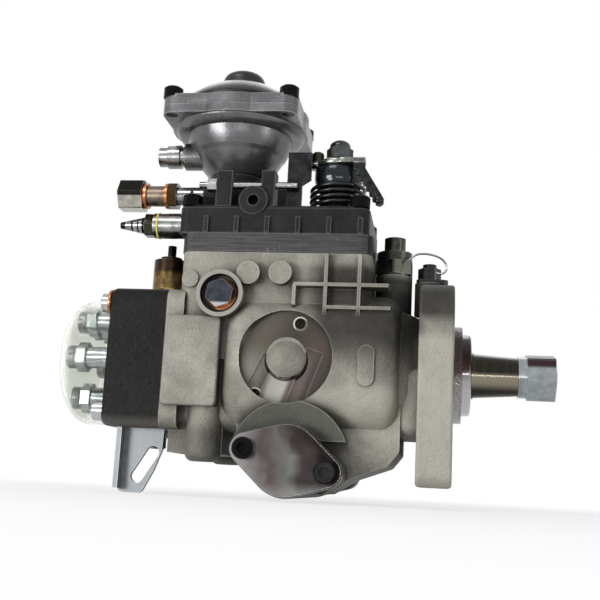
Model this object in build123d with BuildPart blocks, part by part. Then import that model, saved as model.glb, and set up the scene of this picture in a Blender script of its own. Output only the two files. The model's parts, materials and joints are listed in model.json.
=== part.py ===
from build123d import *
from math import asin, cos, degrees, pi, radians, sin, sqrt, tan
import os

# Diesel injection pump of the distributor type, for an engine with six cylinders.
# Frame: origin on the drive shaft's axis in the flange's mounting face, +X along the shaft towards its
# nut, +Z up to the boost compensator, -Y towards the side with the machined pocket. Millimetres.

os.makedirs("parts", exist_ok=True)

# ---------------------------------------------------------------- clearances
running_gap = 0.05            # radial, journals and slides
moving_gap = 0.4              # between parts that pass each other
bolt_gap = 0.3                # radial, screws in through holes

# ---------------------------------------------------------------- flange and pilot
flange_thickness = 17.0
flange_half_width = 45.0
flange_top = 42.0
flange_bottom = -58.0
flange_top_radius = 20.0
flange_foot_radius = 6.0
flange_edge = 1.4
flange_bolt_circle = 82.0
flange_bolt_hole = 9.0
flange_bolt_count = 3
pilot_diameter = 50.0
pilot_length = 4.5

# ---------------------------------------------------------------- pump housing
body_end = -26.0              # drive end of the barrel, where the neck starts
body_half_width = 42.0
body_half_height = 36.0
body_corner = 22.0
body_end_round = 9.0
body_shoulder_round = 12.0      # towards the head
neck_radius = 27.0
head_joint = -144.5           # face that carries the distributor head
collar_length = 9.0           # collar of the housing at the head joint
collar_half_width = 38.0
collar_half_height = 35.5
collar_corner = 6.0
waist_half_width = 33.0       # housing between the collar and the barrel
barrel_start = -115.0
chamber_radius = 31.0         # round room of the cam plate and springs
seat_radius = 29.2            # bore for vane pump and roller ring
seat_depth = -88.0
seam_height = 55.5            # joint between housing and governor cover
top_left = -139.5
top_right = -41.5
top_half_width = 36.0
top_corner = 6.0
room_left = -134.0            # governor room
room_right = -47.0
room_half_width = 28.0
room_floor = 20.0

# ---------------------------------------------------------------- drive shaft
journal_radius = 12.0
shaft_inner_end = -60.0
taper_start = 10.5
taper_end = 33.0
taper_big_radius = 11.4
taper_small_radius = 9.8
keyway_length = 15.0
keyway_width = 4.0
keyway_depth = 3.6
thread_radius = 7.0
shaft_end = 52.4
nut_across_flats = 22.0
nut_start = 37.2
nut_height = 14.4
spring_washer_radius = 10.6
seal_radius = 21.0
seal_length = 4.6

# ---------------------------------------------------------------- vane pump
vane_ring_start = -24.0
vane_ring_length = 14.0
vane_ring_bore = 22.5
vane_ring_offset = 1.6
rotor_radius = 19.5
rotor_length = 12.6
vane_thickness = 2.4
vane_count = 4

# ---------------------------------------------------------------- gears and governor
gear_module = 1.6
drive_teeth = 34
cage_teeth = 26
gear_start = -52.0
gear_width = 6.0
gear_backlash = 0.5           # taken off each tooth's width at the pitch line
pressure_angle = 20.0
cage_radius = 15.5
cage_disc = 4.0
cage_length = 22.0
governor_shaft_radius = 3.5
governor_shaft_clear = 4.6     # from the sleeve's nose to the end of the governor shaft
weight_width = 10.0
weight_outer = 13.8
weight_inner = 8.6
weight_toe = 5.0
weight_pivot_radius = 12.8
weight_pivot_x = -65.0
weight_tip_x = -77.0
trunnion_radius = 1.5
sleeve_start = -68.0
sleeve_nose = -107.6
sleeve_radius = 6.0
sleeve_flange_radius = 7.6
sleeve_travel = 2.6

# ---------------------------------------------------------------- roller ring, cam plate, plunger
ring_middle = -77.0
ring_width = 14.0
ring_bore = 17.0
roller_count = 6
roller_radius = 4.0
roller_inner = 18.5
roller_length = 8.0
cam_crest_gap = 0.3
cam_lift = 2.2
cam_plate_radius = 27.0
cam_plate_thickness = 7.0
cam_hub_radius = 10.0
plunger_radius = 5.0
plunger_length = 62.0
plunger_spring_radius = 5.2
plunger_spring_wire = 1.3
plunger_spring_offset = 19.4
sleeve_ball_height = 11.0     # ball of the lever in the control sleeve
ball_radius = 2.4
control_sleeve_radius = 12.0
control_sleeve_length = 17.0

# ---------------------------------------------------------------- lever pivots
pivot_x = -116.6
pivot_z = 32.3
pivot_boss_radius = 12.0
pivot_boss_face = 43.0        # distance from the shaft's middle plane
pivot_recess_radius = 9.8
pivot_recess_depth = 5.0
pivot_head_flats = 13.0
pivot_head_height = 4.6
pivot_tip_radius = 3.0
pivot_shank_radius = 5.0
lever_half_width = 9.0
lever_thickness = 3.0
lever_gap = 0.7               # from the sleeve's nose to the lever
lever_top = 74.0

# ---------------------------------------------------------------- shaft lock bolt
lock_place = (-13.0, -4.0)
lock_seat = 47.0

# ---------------------------------------------------------------- timing device
timing_x = -77.0
timing_z = -49.0
timing_bore = 14.0            # radius
timing_wall = 3.6
timing_half_length = 52.0
timing_rim_radius = 29.0        # cast arc over each timing cover
timing_lug_depth = 18.0
piston_half_length = 24.0
pin_ball_radius = 4.5
pin_neck_radius = 3.0
cover_screw_pitch = 40.0
cover_tilt = -13.6
cover_round_radius = 17.4
cover_lug_radius = 7.5
cover_thickness = 3.0

# ---------------------------------------------------------------- machined pocket
pocket_x = -81.8
pocket_z = 1.6
pocket_radius = 23.3
pocket_face = 37.5
pocket_steps = [(-72.6, -9.5, 8, 31, -19), (-93.4, -5.5, 7, 17, -25)]
pocket_step_depth = 0.9
dome_radius = 10.2
dome_height = 4.3
pocket_hole_radius = 2.6
rib_root = 34.0               # ribs and the raised pad, from the shaft's middle plane
rib_face = 40.0
rib_width = 3.4
rib_draft = 8.0
pad_face = 40.5
pad_edge = 1.2
pocket_holes = [(-75.6, 18.6), (-96.6, -17.2)]

# ---------------------------------------------------------------- distributor head
head_length = 30.5
head_edge = 3.0
valve_circle = 47.0
valve_count = 6
valve_thread_radius = 7.0
valve_thread_depth = 11.0
valve_body_radius = 5.6
valve_hex_flats = 14.0
valve_hex_start = 13.5        # from the head's face
valve_hex_height = 5.0
valve_end = 24.5
valve_end_radius = 5.5
cap_radius = 33.5
cap_length = 29.0
cap_wall = 1.6
cap_round = 11.0

# ---------------------------------------------------------------- governor cover
band_height = 10.0
cover_body_half_width = 34.0
cover_body_left = -143.0
cover_body_right = -43.5
cover_roof = 81.0
cover_room_half_width = 23.0
cover_room_top = 76.5

# ---------------------------------------------------------------- boost compensator
boost_x = -120.5
boost_neck_radius = 16.0
boost_seat = 104.0
boost_flange_z = 131.5
boost_joint = 136.5
boost_flange_top = 142.0
boost_dome_top = 158.0
boost_screw_x = 31.7
boost_screw_y = 31.0
boost_screw_sink = 1.2
boost_disc_radius = 38.0
boost_pin_radius = 4.0
boost_travel = 4.0

# ---------------------------------------------------------------- throttle lever
throttle_x = -62.5
throttle_y = -12.0
throttle_shaft_radius = 4.5
throttle_spring_radius = 14.0
throttle_spring_wire = 1.25
throttle_spring_turns = 3.4
cup_bottom = 94.5
cup_top = 107.0
cup_radius = 13.0

# ---------------------------------------------------------------- screws
screw_radius = 3.0
screw_head_radius = 5.2
screw_head_height = 6.0
hex_socket_flats = 5.0
thread_grip = 8.0             # screw thread in a tapped hole


def bar_x(start, length, radius, y=0.0, z=0.0):
    """Round bar along X from start towards +X."""
    with BuildPart() as bar:
        with BuildSketch(Plane.YZ.offset(start)):
            with Locations((y, z)):
                Circle(radius)
        extrude(amount=length)
    return bar.part


def bar_y(start, length, radius, x=0.0, z=0.0):
    """Round bar along Y from start towards +Y."""
    with BuildPart() as bar:
        with BuildSketch(Plane.XZ.offset(-start)):
            with Locations((x, z)):
                Circle(radius)
        extrude(amount=-length)
    return bar.part


def bar_z(start, length, radius, x=0.0, y=0.0):
    """Round bar along Z from start upwards."""
    with BuildPart() as bar:
        with BuildSketch(Plane.XY.offset(start)):
            with Locations((x, y)):
                Circle(radius)
        extrude(amount=length)
    return bar.part


def hexagon(plane, across_flats, height, turn=0.0):
    """Hexagonal prism on a plane, with its corners chamfered at the far end."""
    with BuildPart() as prism:
        with BuildSketch(plane):
            RegularPolygon(across_flats / 2, 6, major_radius=False, rotation=turn)
        extrude(amount=height)
        with BuildSketch(plane):
            Circle(across_flats / 2 / cos(radians(30)) - 0.3)
        extrude(amount=height, mode=Mode.INTERSECT)
    return prism.part


def coil(foot, direction, radius, wire, length, turns):
    """Helical spring wire that rises from its foot along a direction."""
    with BuildPart() as spring:
        with BuildLine():
            path = Helix(pitch=length / turns, height=length, radius=radius, center=foot, direction=direction)
        with BuildSketch(Plane(origin=path @ 0, z_dir=path % 0)):
            Circle(wire)
        sweep(is_frenet=True)
    return spring.part


def save(part, name):
    """Give the piece its name and write it."""
    part.label = name
    export_step(part, "parts/" + name + ".step")


def on_near_side(distance):
    """Upright plane at a distance towards -Y; extrusions go on towards -Y."""
    return Plane.XZ.offset(distance)


head_face = head_joint - head_length
tilt_x = cover_screw_pitch / 2 * cos(radians(cover_tilt))
tilt_z = cover_screw_pitch / 2 * sin(radians(cover_tilt))
cover_places = [(timing_x - tilt_x, timing_z - tilt_z), (timing_x + tilt_x, timing_z + tilt_z)]
head_screw_places = [(30, 28), (-30, 28), (-30, -28), (30, -28)]
governor_z = gear_module * (drive_teeth + cage_teeth) / 2
socket_places = []


# ================================================================ housing
with BuildPart() as flank_ribs:
    with BuildSketch(on_near_side(rib_root)):
        with Locations(((-80.7 - 31.7) / 2, 38.5)):
            Rectangle(49, rib_width)
        with Locations(((-63 - 30.4) / 2, 27)):
            Rectangle(32.6, rib_width)
        with Locations((-79.4, 33)):
            Rectangle(rib_width, 12)
        with Locations((-63.7, 38), (-47, 38)):
            Rectangle(rib_width, 34)
    extrude(amount=rib_face - rib_root, taper=rib_draft)

with BuildPart() as flange_plate:
    with BuildSketch(Plane.YZ.offset(-flange_thickness)) as flange_outline:
        with Locations((0, (flange_top + flange_bottom) / 2)):
            Rectangle(2 * flange_half_width, flange_top - flange_bottom)
        fillet(flange_outline.vertices().group_by(Axis.Y)[-1], flange_top_radius)
        fillet(flange_outline.vertices().group_by(Axis.Y)[0], flange_foot_radius)
    extrude(amount=flange_thickness)
    fillet(faces().sort_by(Axis.X)[0].edges(), flange_edge)
    fillet(faces().sort_by(Axis.X)[-1].edges(), flange_edge)

with BuildPart() as flank_pad:
    with BuildSketch(on_near_side(waist_half_width - 3)):
        with Locations(((-144 - 115.6) / 2, -1.4)):
            RectangleRounded(28.4, 45.4, 2.5)
    extrude(amount=pad_face - waist_half_width + 3)
    fillet(faces().sort_by(Axis.Y)[0].edges(), pad_edge)

with BuildPart() as low_boss:
    add(bar_z(-51, 27, 9, -122.7, -29))
    fillet(faces().sort_by(Axis.Z)[0].edges(), 4)

with BuildSketch() as cover_shape:
    with Locations((timing_x, timing_z)):
        Circle(cover_round_radius)
    with Locations(*cover_places):
        Circle(cover_lug_radius)
    make_hull()
cover_outline = cover_shape.sketch

with BuildPart() as housing:
    # barrel round the cam gear, a rounded box in section
    with BuildSketch(Plane.YZ.offset(barrel_start)):
        RectangleRounded(2 * body_half_width, 2 * body_half_height, body_corner)
    extrude(amount=body_end - barrel_start)
    fillet(faces().sort_by(Axis.X)[-1].edges(), body_end_round)
    fillet(faces().sort_by(Axis.X)[0].edges(), body_shoulder_round)
    # waist and collar towards the head
    with BuildSketch(Plane.YZ.offset(head_joint)):
        RectangleRounded(2 * waist_half_width, 2 * collar_half_height - 1, 8)
    extrude(amount=barrel_start - head_joint + body_shoulder_round)
    with BuildSketch(Plane.YZ.offset(head_joint)):
        RectangleRounded(2 * collar_half_width, 2 * collar_half_height, collar_corner)
    extrude(amount=collar_length)
    # governor room walls
    with BuildSketch(Plane.XY):
        with Locations(((top_left + top_right) / 2, 0)):
            RectangleRounded(top_right - top_left, 2 * top_half_width, top_corner)
    extrude(amount=seam_height)
    # neck and flange
    with BuildSketch(Plane.YZ.offset(body_end - 9)):
        RectangleRounded(2 * body_half_width - 6, 2 * body_half_height - 6, body_corner - 2)
    with BuildSketch(Plane.YZ.offset(1 - flange_thickness)):
        with Locations((0, -3)):
            RectangleRounded(58, 60, body_corner)
    loft()
    add(bar_x(body_end - 4, -body_end + 4 - flange_thickness, neck_radius))
    with BuildSketch(Plane.YZ.offset(body_end - 4)):
        with Locations((0, -17)):
            RectangleRounded(64, 34, 5)
    extrude(amount=-body_end + 4 - flange_thickness)
    add(flange_plate.part)
    add(bar_x(0, pilot_length, pilot_diameter / 2))
    # timing cylinder across the underside, with its rims and the webs above it
    add(bar_y(-timing_half_length, 2 * timing_half_length, timing_bore + timing_wall, timing_x, timing_z))
    with BuildSketch(on_near_side(-timing_half_length)):
        add(cover_outline)
    extrude(amount=timing_lug_depth)
    with BuildSketch(on_near_side(timing_half_length - timing_lug_depth)):
        add(cover_outline)
    extrude(amount=timing_lug_depth)
    # cast arc over each cover, and the webs between
    with BuildSketch(on_near_side(6 - timing_half_length)):
        with Locations((timing_x, timing_z)):
            Circle(timing_rim_radius)
        with Locations((timing_x, timing_z - timing_rim_radius + 10)):
            Rectangle(3 * timing_rim_radius, 2 * timing_rim_radius, mode=Mode.SUBTRACT)
    extrude(amount=2 * timing_half_length - 12)
    with BuildSketch(on_near_side(-waist_half_width)) as web:
        with BuildLine():
            Polyline((-108, -20), (-103, -50), (-94, -58), (-62, -64), (-48, -55.5), (-30.5, -49),
                     (-25, -42), (-25, -20), (-108, -20))
        make_face()
        fillet(web.vertices().group_by(Axis.Y)[2:6], 4)
    extrude(amount=2 * waist_half_width)
    # low boss beside the collar
    add(low_boss.part)
    add(mirror(low_boss.part, about=Plane.XZ))
    with BuildSketch(Plane.XY.offset(-47)):
        with Locations((-127, 0)):
            Rectangle(28, 60)
    extrude(amount=20)
    # square pad beside the head
    add(flank_pad.part)
    # pivot bosses, cast bosses and a sight mark
    add(bar_y(-pivot_boss_face, 2 * pivot_boss_face, pivot_boss_radius, pivot_x, pivot_z))
    add(bar_y(-41, 12, 5.9, -103.0, 43.6))
    add(bar_y(-41, 12, 5.9, -86.7, 43.9))
    add(bar_y(-37, 12, 4.3, -133.7, 40.6))
    # cast ribs on both flanks
    add(flank_ribs.part)
    add(mirror(flank_ribs.part, about=Plane.XZ))
    # raised cast obround on the barrel
    with BuildSketch(on_near_side(40)):
        with Locations((-42, -1.7)):
            SlotOverall(20, 8, rotation=90)
    extrude(amount=3)
    # inlet boss and lock bolt boss on top
    add(bar_z(15, 35, 9.6, -31.5, -5))
    add(bar_z(30, lock_seat - 30, 7.5, *lock_place))
    # machined pocket with its cast dome and two tapped holes
    with BuildSketch(on_near_side(pocket_face)):
        with Locations((pocket_x, pocket_z)):
            Circle(pocket_radius)
    extrude(amount=12, mode=Mode.SUBTRACT)
    with BuildSketch(on_near_side(pocket_face - pocket_step_depth)):
        for step_x, step_z, step_width, step_height, lean in pocket_steps:
            with Locations((step_x, step_z)):
                Rectangle(step_width, step_height, rotation=lean)
        with Locations((pocket_x, pocket_z)):
            Circle(pocket_radius, mode=Mode.INTERSECT)
    extrude(amount=6, mode=Mode.SUBTRACT)
    dome_ball = (dome_radius**2 + dome_height**2) / (2 * dome_height)
    with Locations((pocket_x, -(pocket_face + dome_height - dome_ball), pocket_z - 1.7)):
        Sphere(dome_ball)
    # rooms inside
    add(bar_x(head_joint, seat_depth - head_joint, chamber_radius), mode=Mode.SUBTRACT)
    add(bar_x(seat_depth, vane_ring_start - seat_depth, seat_radius), mode=Mode.SUBTRACT)
    add(bar_x(vane_ring_start, -vane_ring_start + pilot_length, journal_radius + running_gap),
        mode=Mode.SUBTRACT)
    with BuildSketch(Plane.XY.offset(room_floor)):
        with Locations(((room_left + room_right) / 2, 0)):
            RectangleRounded(room_right - room_left, 2 * room_half_width, 3)
    extrude(amount=seam_height - room_floor, mode=Mode.SUBTRACT)
    add(bar_x(room_right - 1, 6, governor_shaft_radius, 0, governor_z), mode=Mode.SUBTRACT)
    # timing bore and the pin's window
    add(bar_y(-timing_half_length, 2 * timing_half_length, timing_bore + running_gap, timing_x, timing_z),
        mode=Mode.SUBTRACT)
    with BuildSketch(Plane.XY.offset(timing_z)):
        with Locations((timing_x, 0)):
            SlotOverall(26, 12, rotation=90)
    extrude(amount=30, mode=Mode.SUBTRACT)
    # pivot recesses and holes
    for side in (-1, 1):
        start = -pivot_boss_face if side < 0 else pivot_boss_face - pivot_recess_depth
        add(bar_y(start, pivot_recess_depth, pivot_recess_radius, pivot_x, pivot_z), mode=Mode.SUBTRACT)
    add(bar_y(-pivot_boss_face, 2 * pivot_boss_face, pivot_shank_radius, pivot_x, pivot_z), mode=Mode.SUBTRACT)
    # tapped holes for the head's and the timing covers' screws
    for place_y, place_z in head_screw_places:
        add(bar_x(head_joint, thread_grip + 0.8, screw_radius + running_gap, place_y, place_z),
            mode=Mode.SUBTRACT)
    for place_x, place_z in cover_places:
        for start in (-timing_half_length, timing_half_length - thread_grip - 2):
            add(bar_y(start, thread_grip + 2, screw_radius + running_gap, place_x, place_z), mode=Mode.SUBTRACT)
    # pocket's tapped holes
    for hole_x, hole_z in pocket_holes:
        add(bar_y(-pocket_face - 2, 7, pocket_hole_radius, hole_x, hole_z), mode=Mode.SUBTRACT)
    # flange bolt holes
    with BuildSketch(Plane.YZ.offset(-flange_thickness)):
        with PolarLocations(flange_bolt_circle / 2, flange_bolt_count, start_angle=30):
            Circle(flange_bolt_hole / 2)
    extrude(amount=flange_thickness, mode=Mode.SUBTRACT)
    # inlet and lock bolt bores
    add(bar_z(30, 20, 5, -31.5, -5), mode=Mode.SUBTRACT)
    add(bar_z(33, lock_seat - 33, screw_radius, *lock_place), mode=Mode.SUBTRACT)
save(housing.part, "housing")

# ================================================================ drive shaft group
with BuildPart() as drive_shaft:
    add(bar_x(shaft_inner_end, taper_start - shaft_inner_end, journal_radius))
    # claws of the coupling inside the roller ring
    with BuildSketch(Plane.YZ.offset(shaft_inner_end)):
        with Locations((0, 7.5), (0, -7.5)):
            Rectangle(9, 7)
    extrude(amount=-9)
    with BuildSketch(Plane.YZ.offset(taper_start)):
        Circle(taper_big_radius)
    with BuildSketch(Plane.YZ.offset(taper_end)):
        Circle(taper_small_radius)
    loft()
    add(bar_x(taper_end, shaft_end - taper_end, thread_radius))
    chamfer(faces().sort_by(Axis.X)[-1].edges(), 1)
    # keyway in the taper
    with BuildSketch(on_near_side(-journal_radius)):
        with Locations(((taper_start + taper_end) / 2 - 2, 0)):
            SlotOverall(keyway_length, keyway_width)
    extrude(amount=keyway_depth, mode=Mode.SUBTRACT)
save(drive_shaft.part, "drive_shaft")

with BuildPart() as shaft_nut:
    add(hexagon(Plane.YZ.offset(nut_start), nut_across_flats, nut_height, 15))
    add(bar_x(nut_start, nut_height, thread_radius), mode=Mode.SUBTRACT)
save(shaft_nut.part, "shaft_nut")

with BuildPart() as spring_washer:
    add(bar_x(taper_end, nut_start - taper_end, spring_washer_radius))
    add(bar_x(taper_end, nut_start - taper_end, thread_radius), mode=Mode.SUBTRACT)
    # the washer's split
    with BuildSketch(Plane.YZ.offset(taper_end)):
        with Locations((spring_washer_radius, 0)):
            Rectangle(spring_washer_radius, 1.2)
    extrude(amount=nut_start - taper_end, mode=Mode.SUBTRACT)
save(spring_washer.part, "spring_washer")

with BuildPart() as shaft_seal:
    add(bar_x(pilot_length, seal_length, seal_radius))
    fillet(faces().sort_by(Axis.X)[-1].edges(), 1.5)
    add(bar_x(pilot_length, seal_length, journal_radius + running_gap), mode=Mode.SUBTRACT)
save(shaft_seal.part, "shaft_seal")

# ================================================================ vane pump
with BuildPart() as cam_ring:
    add(bar_x(vane_ring_start - vane_ring_length, vane_ring_length, seat_radius))
    add(bar_x(vane_ring_start - vane_ring_length, vane_ring_length, vane_ring_bore, 0, vane_ring_offset),
        mode=Mode.SUBTRACT)
save(cam_ring.part, "cam_ring")

rotor_start = vane_ring_start - vane_ring_length / 2 - rotor_length / 2
vane_tip = vane_ring_bore - vane_ring_offset - moving_gap
with BuildPart() as vane_rotor:
    add(bar_x(rotor_start, rotor_length, rotor_radius))
    add(bar_x(rotor_start, rotor_length, journal_radius), mode=Mode.SUBTRACT)
    with BuildSketch(Plane.YZ.offset(rotor_start)):
        with PolarLocations(rotor_radius, vane_count):
            Rectangle(2 * (rotor_radius - journal_radius) - 4, vane_thickness)
    extrude(amount=rotor_length, mode=Mode.SUBTRACT)
save(vane_rotor.part, "vane_rotor")

with BuildPart() as vanes:
    with BuildSketch(Plane.YZ.offset(rotor_start)):
        with PolarLocations((journal_radius + 2 + vane_tip) / 2, vane_count):
            Rectangle(vane_tip - journal_radius - 2, vane_thickness)
    extrude(amount=rotor_length)
save(vanes.part, "vanes")


# ================================================================ gears
def gear_outline(teeth, turn):
    """Involute-flanked outline of one gear, as points round its axis."""
    pitch_radius = gear_module * teeth / 2
    base_radius = pitch_radius * cos(radians(pressure_angle))
    tip_radius = pitch_radius + gear_module
    root_radius = pitch_radius - 1.25 * gear_module
    half_tooth = (pi * gear_module / 2 - gear_backlash) / 2 / pitch_radius
    involute = lambda radius: sqrt(max((radius / base_radius)**2 - 1, 0)) - (
        pi / 2 - asin(min(base_radius / radius, 1)))
    points = []
    for tooth in range(teeth):
        middle = radians(turn) + 2 * pi * tooth / teeth
        for radius, side in ((root_radius, -1), (pitch_radius, -1), (tip_radius, -1),
                             (tip_radius, 1), (pitch_radius, 1), (root_radius, 1)):
            half = half_tooth + involute(pitch_radius) - involute(max(radius, base_radius))
            angle = middle + side * half
            points.append((radius * cos(angle), radius * sin(angle)))
    return points


with BuildPart() as drive_gear:
    with BuildSketch(Plane.YZ.offset(gear_start - gear_width)):
        Polygon(*gear_outline(drive_teeth, 90), align=None)
    extrude(amount=gear_width)
    add(bar_x(gear_start - gear_width, gear_width, journal_radius), mode=Mode.SUBTRACT)
save(drive_gear.part, "drive_gear")

cage_start = gear_start - gear_width - cage_disc
with BuildPart() as governor_cage:
    with BuildSketch(Plane(origin=(gear_start - gear_width, 0, governor_z), x_dir=(0, 1, 0), z_dir=(1, 0, 0))):
        Polygon(*gear_outline(cage_teeth, 270 + 180 / cage_teeth), align=None)
    extrude(amount=gear_width)
    add(bar_x(cage_start, cage_disc, cage_radius, 0, governor_z))
    # four posts stand between the flyweights
    add(bar_x(cage_start - cage_length + cage_disc, cage_length - cage_disc, cage_radius, 0, governor_z))
    slot_width = weight_width + 2 * moving_gap
    with BuildSketch(Plane.YZ.offset(cage_start - cage_length)):
        with Locations((0, governor_z)):
            Rectangle(slot_width, 3 * cage_radius)
            Rectangle(3 * cage_radius, slot_width)
    extrude(amount=cage_length, mode=Mode.SUBTRACT)
    add(bar_x(cage_start - cage_length, 40, governor_shaft_radius + running_gap, 0, governor_z),
        mode=Mode.SUBTRACT)
    add(bar_x(cage_start - cage_length, cage_length, sleeve_flange_radius + moving_gap, 0, governor_z),
        mode=Mode.SUBTRACT)
    # holes for the flyweights' trunnions
    for side in (-1, 1):
        add(bar_y(-20, 40, trunnion_radius + moving_gap, weight_pivot_x,
                  governor_z + side * weight_pivot_radius), mode=Mode.SUBTRACT)
        add(bar_z(governor_z - 20, 40, trunnion_radius + moving_gap, weight_pivot_x,
                  side * weight_pivot_radius), mode=Mode.SUBTRACT)
save(governor_cage.part, "governor_cage")

weight_heel_x = cage_start - 2 * moving_gap
for number in range(4):
    turn = radians(90 * number)
    side_plane = Plane(origin=(0, 0, governor_z), x_dir=(1, 0, 0), z_dir=(0, -sin(turn), cos(turn)))
    with BuildPart() as flyweight:
        with BuildSketch(side_plane):
            with BuildLine():
                Polyline((weight_heel_x, weight_outer), (weight_tip_x, weight_outer),
                         (weight_tip_x, weight_inner), (weight_pivot_x - 2.5, weight_inner),
                         (weight_pivot_x - 2.5, weight_toe), (weight_pivot_x + 1, weight_toe),
                         (weight_pivot_x + 1, weight_inner - 0.6), (weight_heel_x, weight_outer - 3.8),
                         (weight_heel_x, weight_outer))
            make_face()
        extrude(amount=weight_width / 2, both=True)
        with BuildSketch(side_plane):
            with Locations((weight_pivot_x, weight_pivot_radius)):
                Circle(trunnion_radius)
        extrude(amount=weight_width / 2 + 1.6, both=True)
    save(flyweight.part, "flyweight_" + str(number + 1))

with BuildPart() as governor_shaft:
    shaft_tip = sleeve_nose + governor_shaft_clear
    add(bar_x(shaft_tip, room_right + 4 - shaft_tip, governor_shaft_radius, 0, governor_z))
save(governor_shaft.part, "governor_shaft")

with BuildPart() as governor_sleeve:
    nose_length = 4.0
    add(bar_x(sleeve_nose + nose_length, sleeve_start - sleeve_nose - nose_length, sleeve_radius, 0, governor_z))
    add(bar_x(sleeve_start - 3, 3, sleeve_flange_radius, 0, governor_z))
    add(bar_x(sleeve_nose + 1, nose_length, 4.5, 0, governor_z))
    add(bar_x(sleeve_nose, 2, 2.5, 0, governor_z))
    add(bar_x(shaft_tip - 1.6, sleeve_start - sleeve_nose,
              governor_shaft_radius + running_gap, 0, governor_z), mode=Mode.SUBTRACT)
save(governor_sleeve.part, "governor_sleeve")

# ================================================================ roller ring
with BuildPart() as roller_ring:
    add(bar_x(ring_middle - ring_width / 2, ring_width, seat_radius - running_gap))
    add(bar_x(ring_middle - ring_width / 2, ring_width, ring_bore), mode=Mode.SUBTRACT)
    # pockets for the rollers in the face towards the cam plate
    with BuildSketch(Plane.YZ.offset(ring_middle - ring_width / 2)):
        with PolarLocations(roller_inner + roller_length / 2, roller_count):
            Rectangle(roller_length + 0.6, 2 * roller_radius + 0.6)
    extrude(amount=6, mode=Mode.SUBTRACT)
    # timing pin with its ball
    add(bar_z(timing_z, -timing_z - seat_radius + 8, pin_neck_radius, ring_middle))
    with Locations((ring_middle, 0, timing_z)):
        Sphere(pin_ball_radius)
save(roller_ring.part, "roller_ring")

roller_x = ring_middle - ring_width / 2 + 1.4
with BuildPart() as rollers:
    for number in range(roller_count):
        turn = radians(60 * number)
        with BuildSketch(Plane(origin=(roller_x, roller_inner * cos(turn), roller_inner * sin(turn)),
                               x_dir=(1, 0, 0), z_dir=(0, cos(turn), sin(turn)))):
            Circle(roller_radius)
        extrude(amount=roller_length)
save(rollers.part, "rollers")

# ================================================================ cam plate and plunger
cam_crest = roller_x - roller_radius - cam_crest_gap
cam_face = cam_crest - cam_lift
cam_back = cam_face - cam_plate_thickness
with BuildPart() as cam_plate:
    add(bar_x(cam_face - 3, 3, cam_plate_radius))
    # six lobes, each a shallow roll across the track
    lobe_radius = 9.0
    for number in range(valve_count):
        turn = radians(60 * number)
        with BuildSketch(Plane(origin=(cam_crest - lobe_radius, 16 * cos(turn), 16 * sin(turn)),
                               x_dir=(1, 0, 0), z_dir=(0, cos(turn), sin(turn)))):
            Circle(lobe_radius)
        extrude(amount=cam_plate_radius - 16)
    with BuildSketch(Plane.YZ.offset(cam_back)):
        Circle(cam_plate_radius)
    extrude(amount=cam_crest - cam_back, mode=Mode.INTERSECT)
    add(bar_x(cam_back, cam_plate_thickness, cam_plate_radius))
    # hub through the roller ring, with the claws that meet the shaft's
    hub_end = shaft_inner_end - 13
    add(bar_x(cam_face - 1, hub_end - cam_face + 1, cam_hub_radius))
    with BuildSketch(Plane.YZ.offset(hub_end)):
        with Locations((8, 0), (-8, 0)):
            Rectangle(6, 7)
    extrude(amount=12)
    add(bar_x(cam_back, 3, plunger_radius + 1), mode=Mode.SUBTRACT)
save(cam_plate.part, "cam_plate")

plunger_end = cam_back + 3 - plunger_length
with BuildPart() as plunger:
    add(bar_x(plunger_end, plunger_length, plunger_radius))
    # foot that sits in the cam plate
    add(bar_x(cam_back, 3, plunger_radius + 1))
    # spill port and distributor groove
    with BuildSketch(Plane.XY.offset(-plunger_radius)):
        with Locations((pivot_x, 0)):
            Circle(1.2)
    extrude(amount=2 * plunger_radius, mode=Mode.SUBTRACT)
save(plunger.part, "plunger")

with BuildPart() as control_sleeve:
    sleeve_left = pivot_x - control_sleeve_length / 2
    add(bar_x(sleeve_left, control_sleeve_length, control_sleeve_radius))
    add(bar_x(sleeve_left, control_sleeve_length, plunger_radius + running_gap), mode=Mode.SUBTRACT)
    add(bar_z(sleeve_ball_height - ball_radius - 0.6, 20, ball_radius + 0.5, pivot_x), mode=Mode.SUBTRACT)
save(control_sleeve.part, "control_sleeve")

with BuildPart() as plunger_springs:
    for side in (-1, 1):
        add(coil((head_joint + plunger_spring_wire + 0.3, side * plunger_spring_offset, 0), (1, 0, 0),
                 plunger_spring_radius, plunger_spring_wire,
                 cam_back - head_joint - 2 * plunger_spring_wire - 0.6, 6))
save(plunger_springs.part, "plunger_springs")

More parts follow.
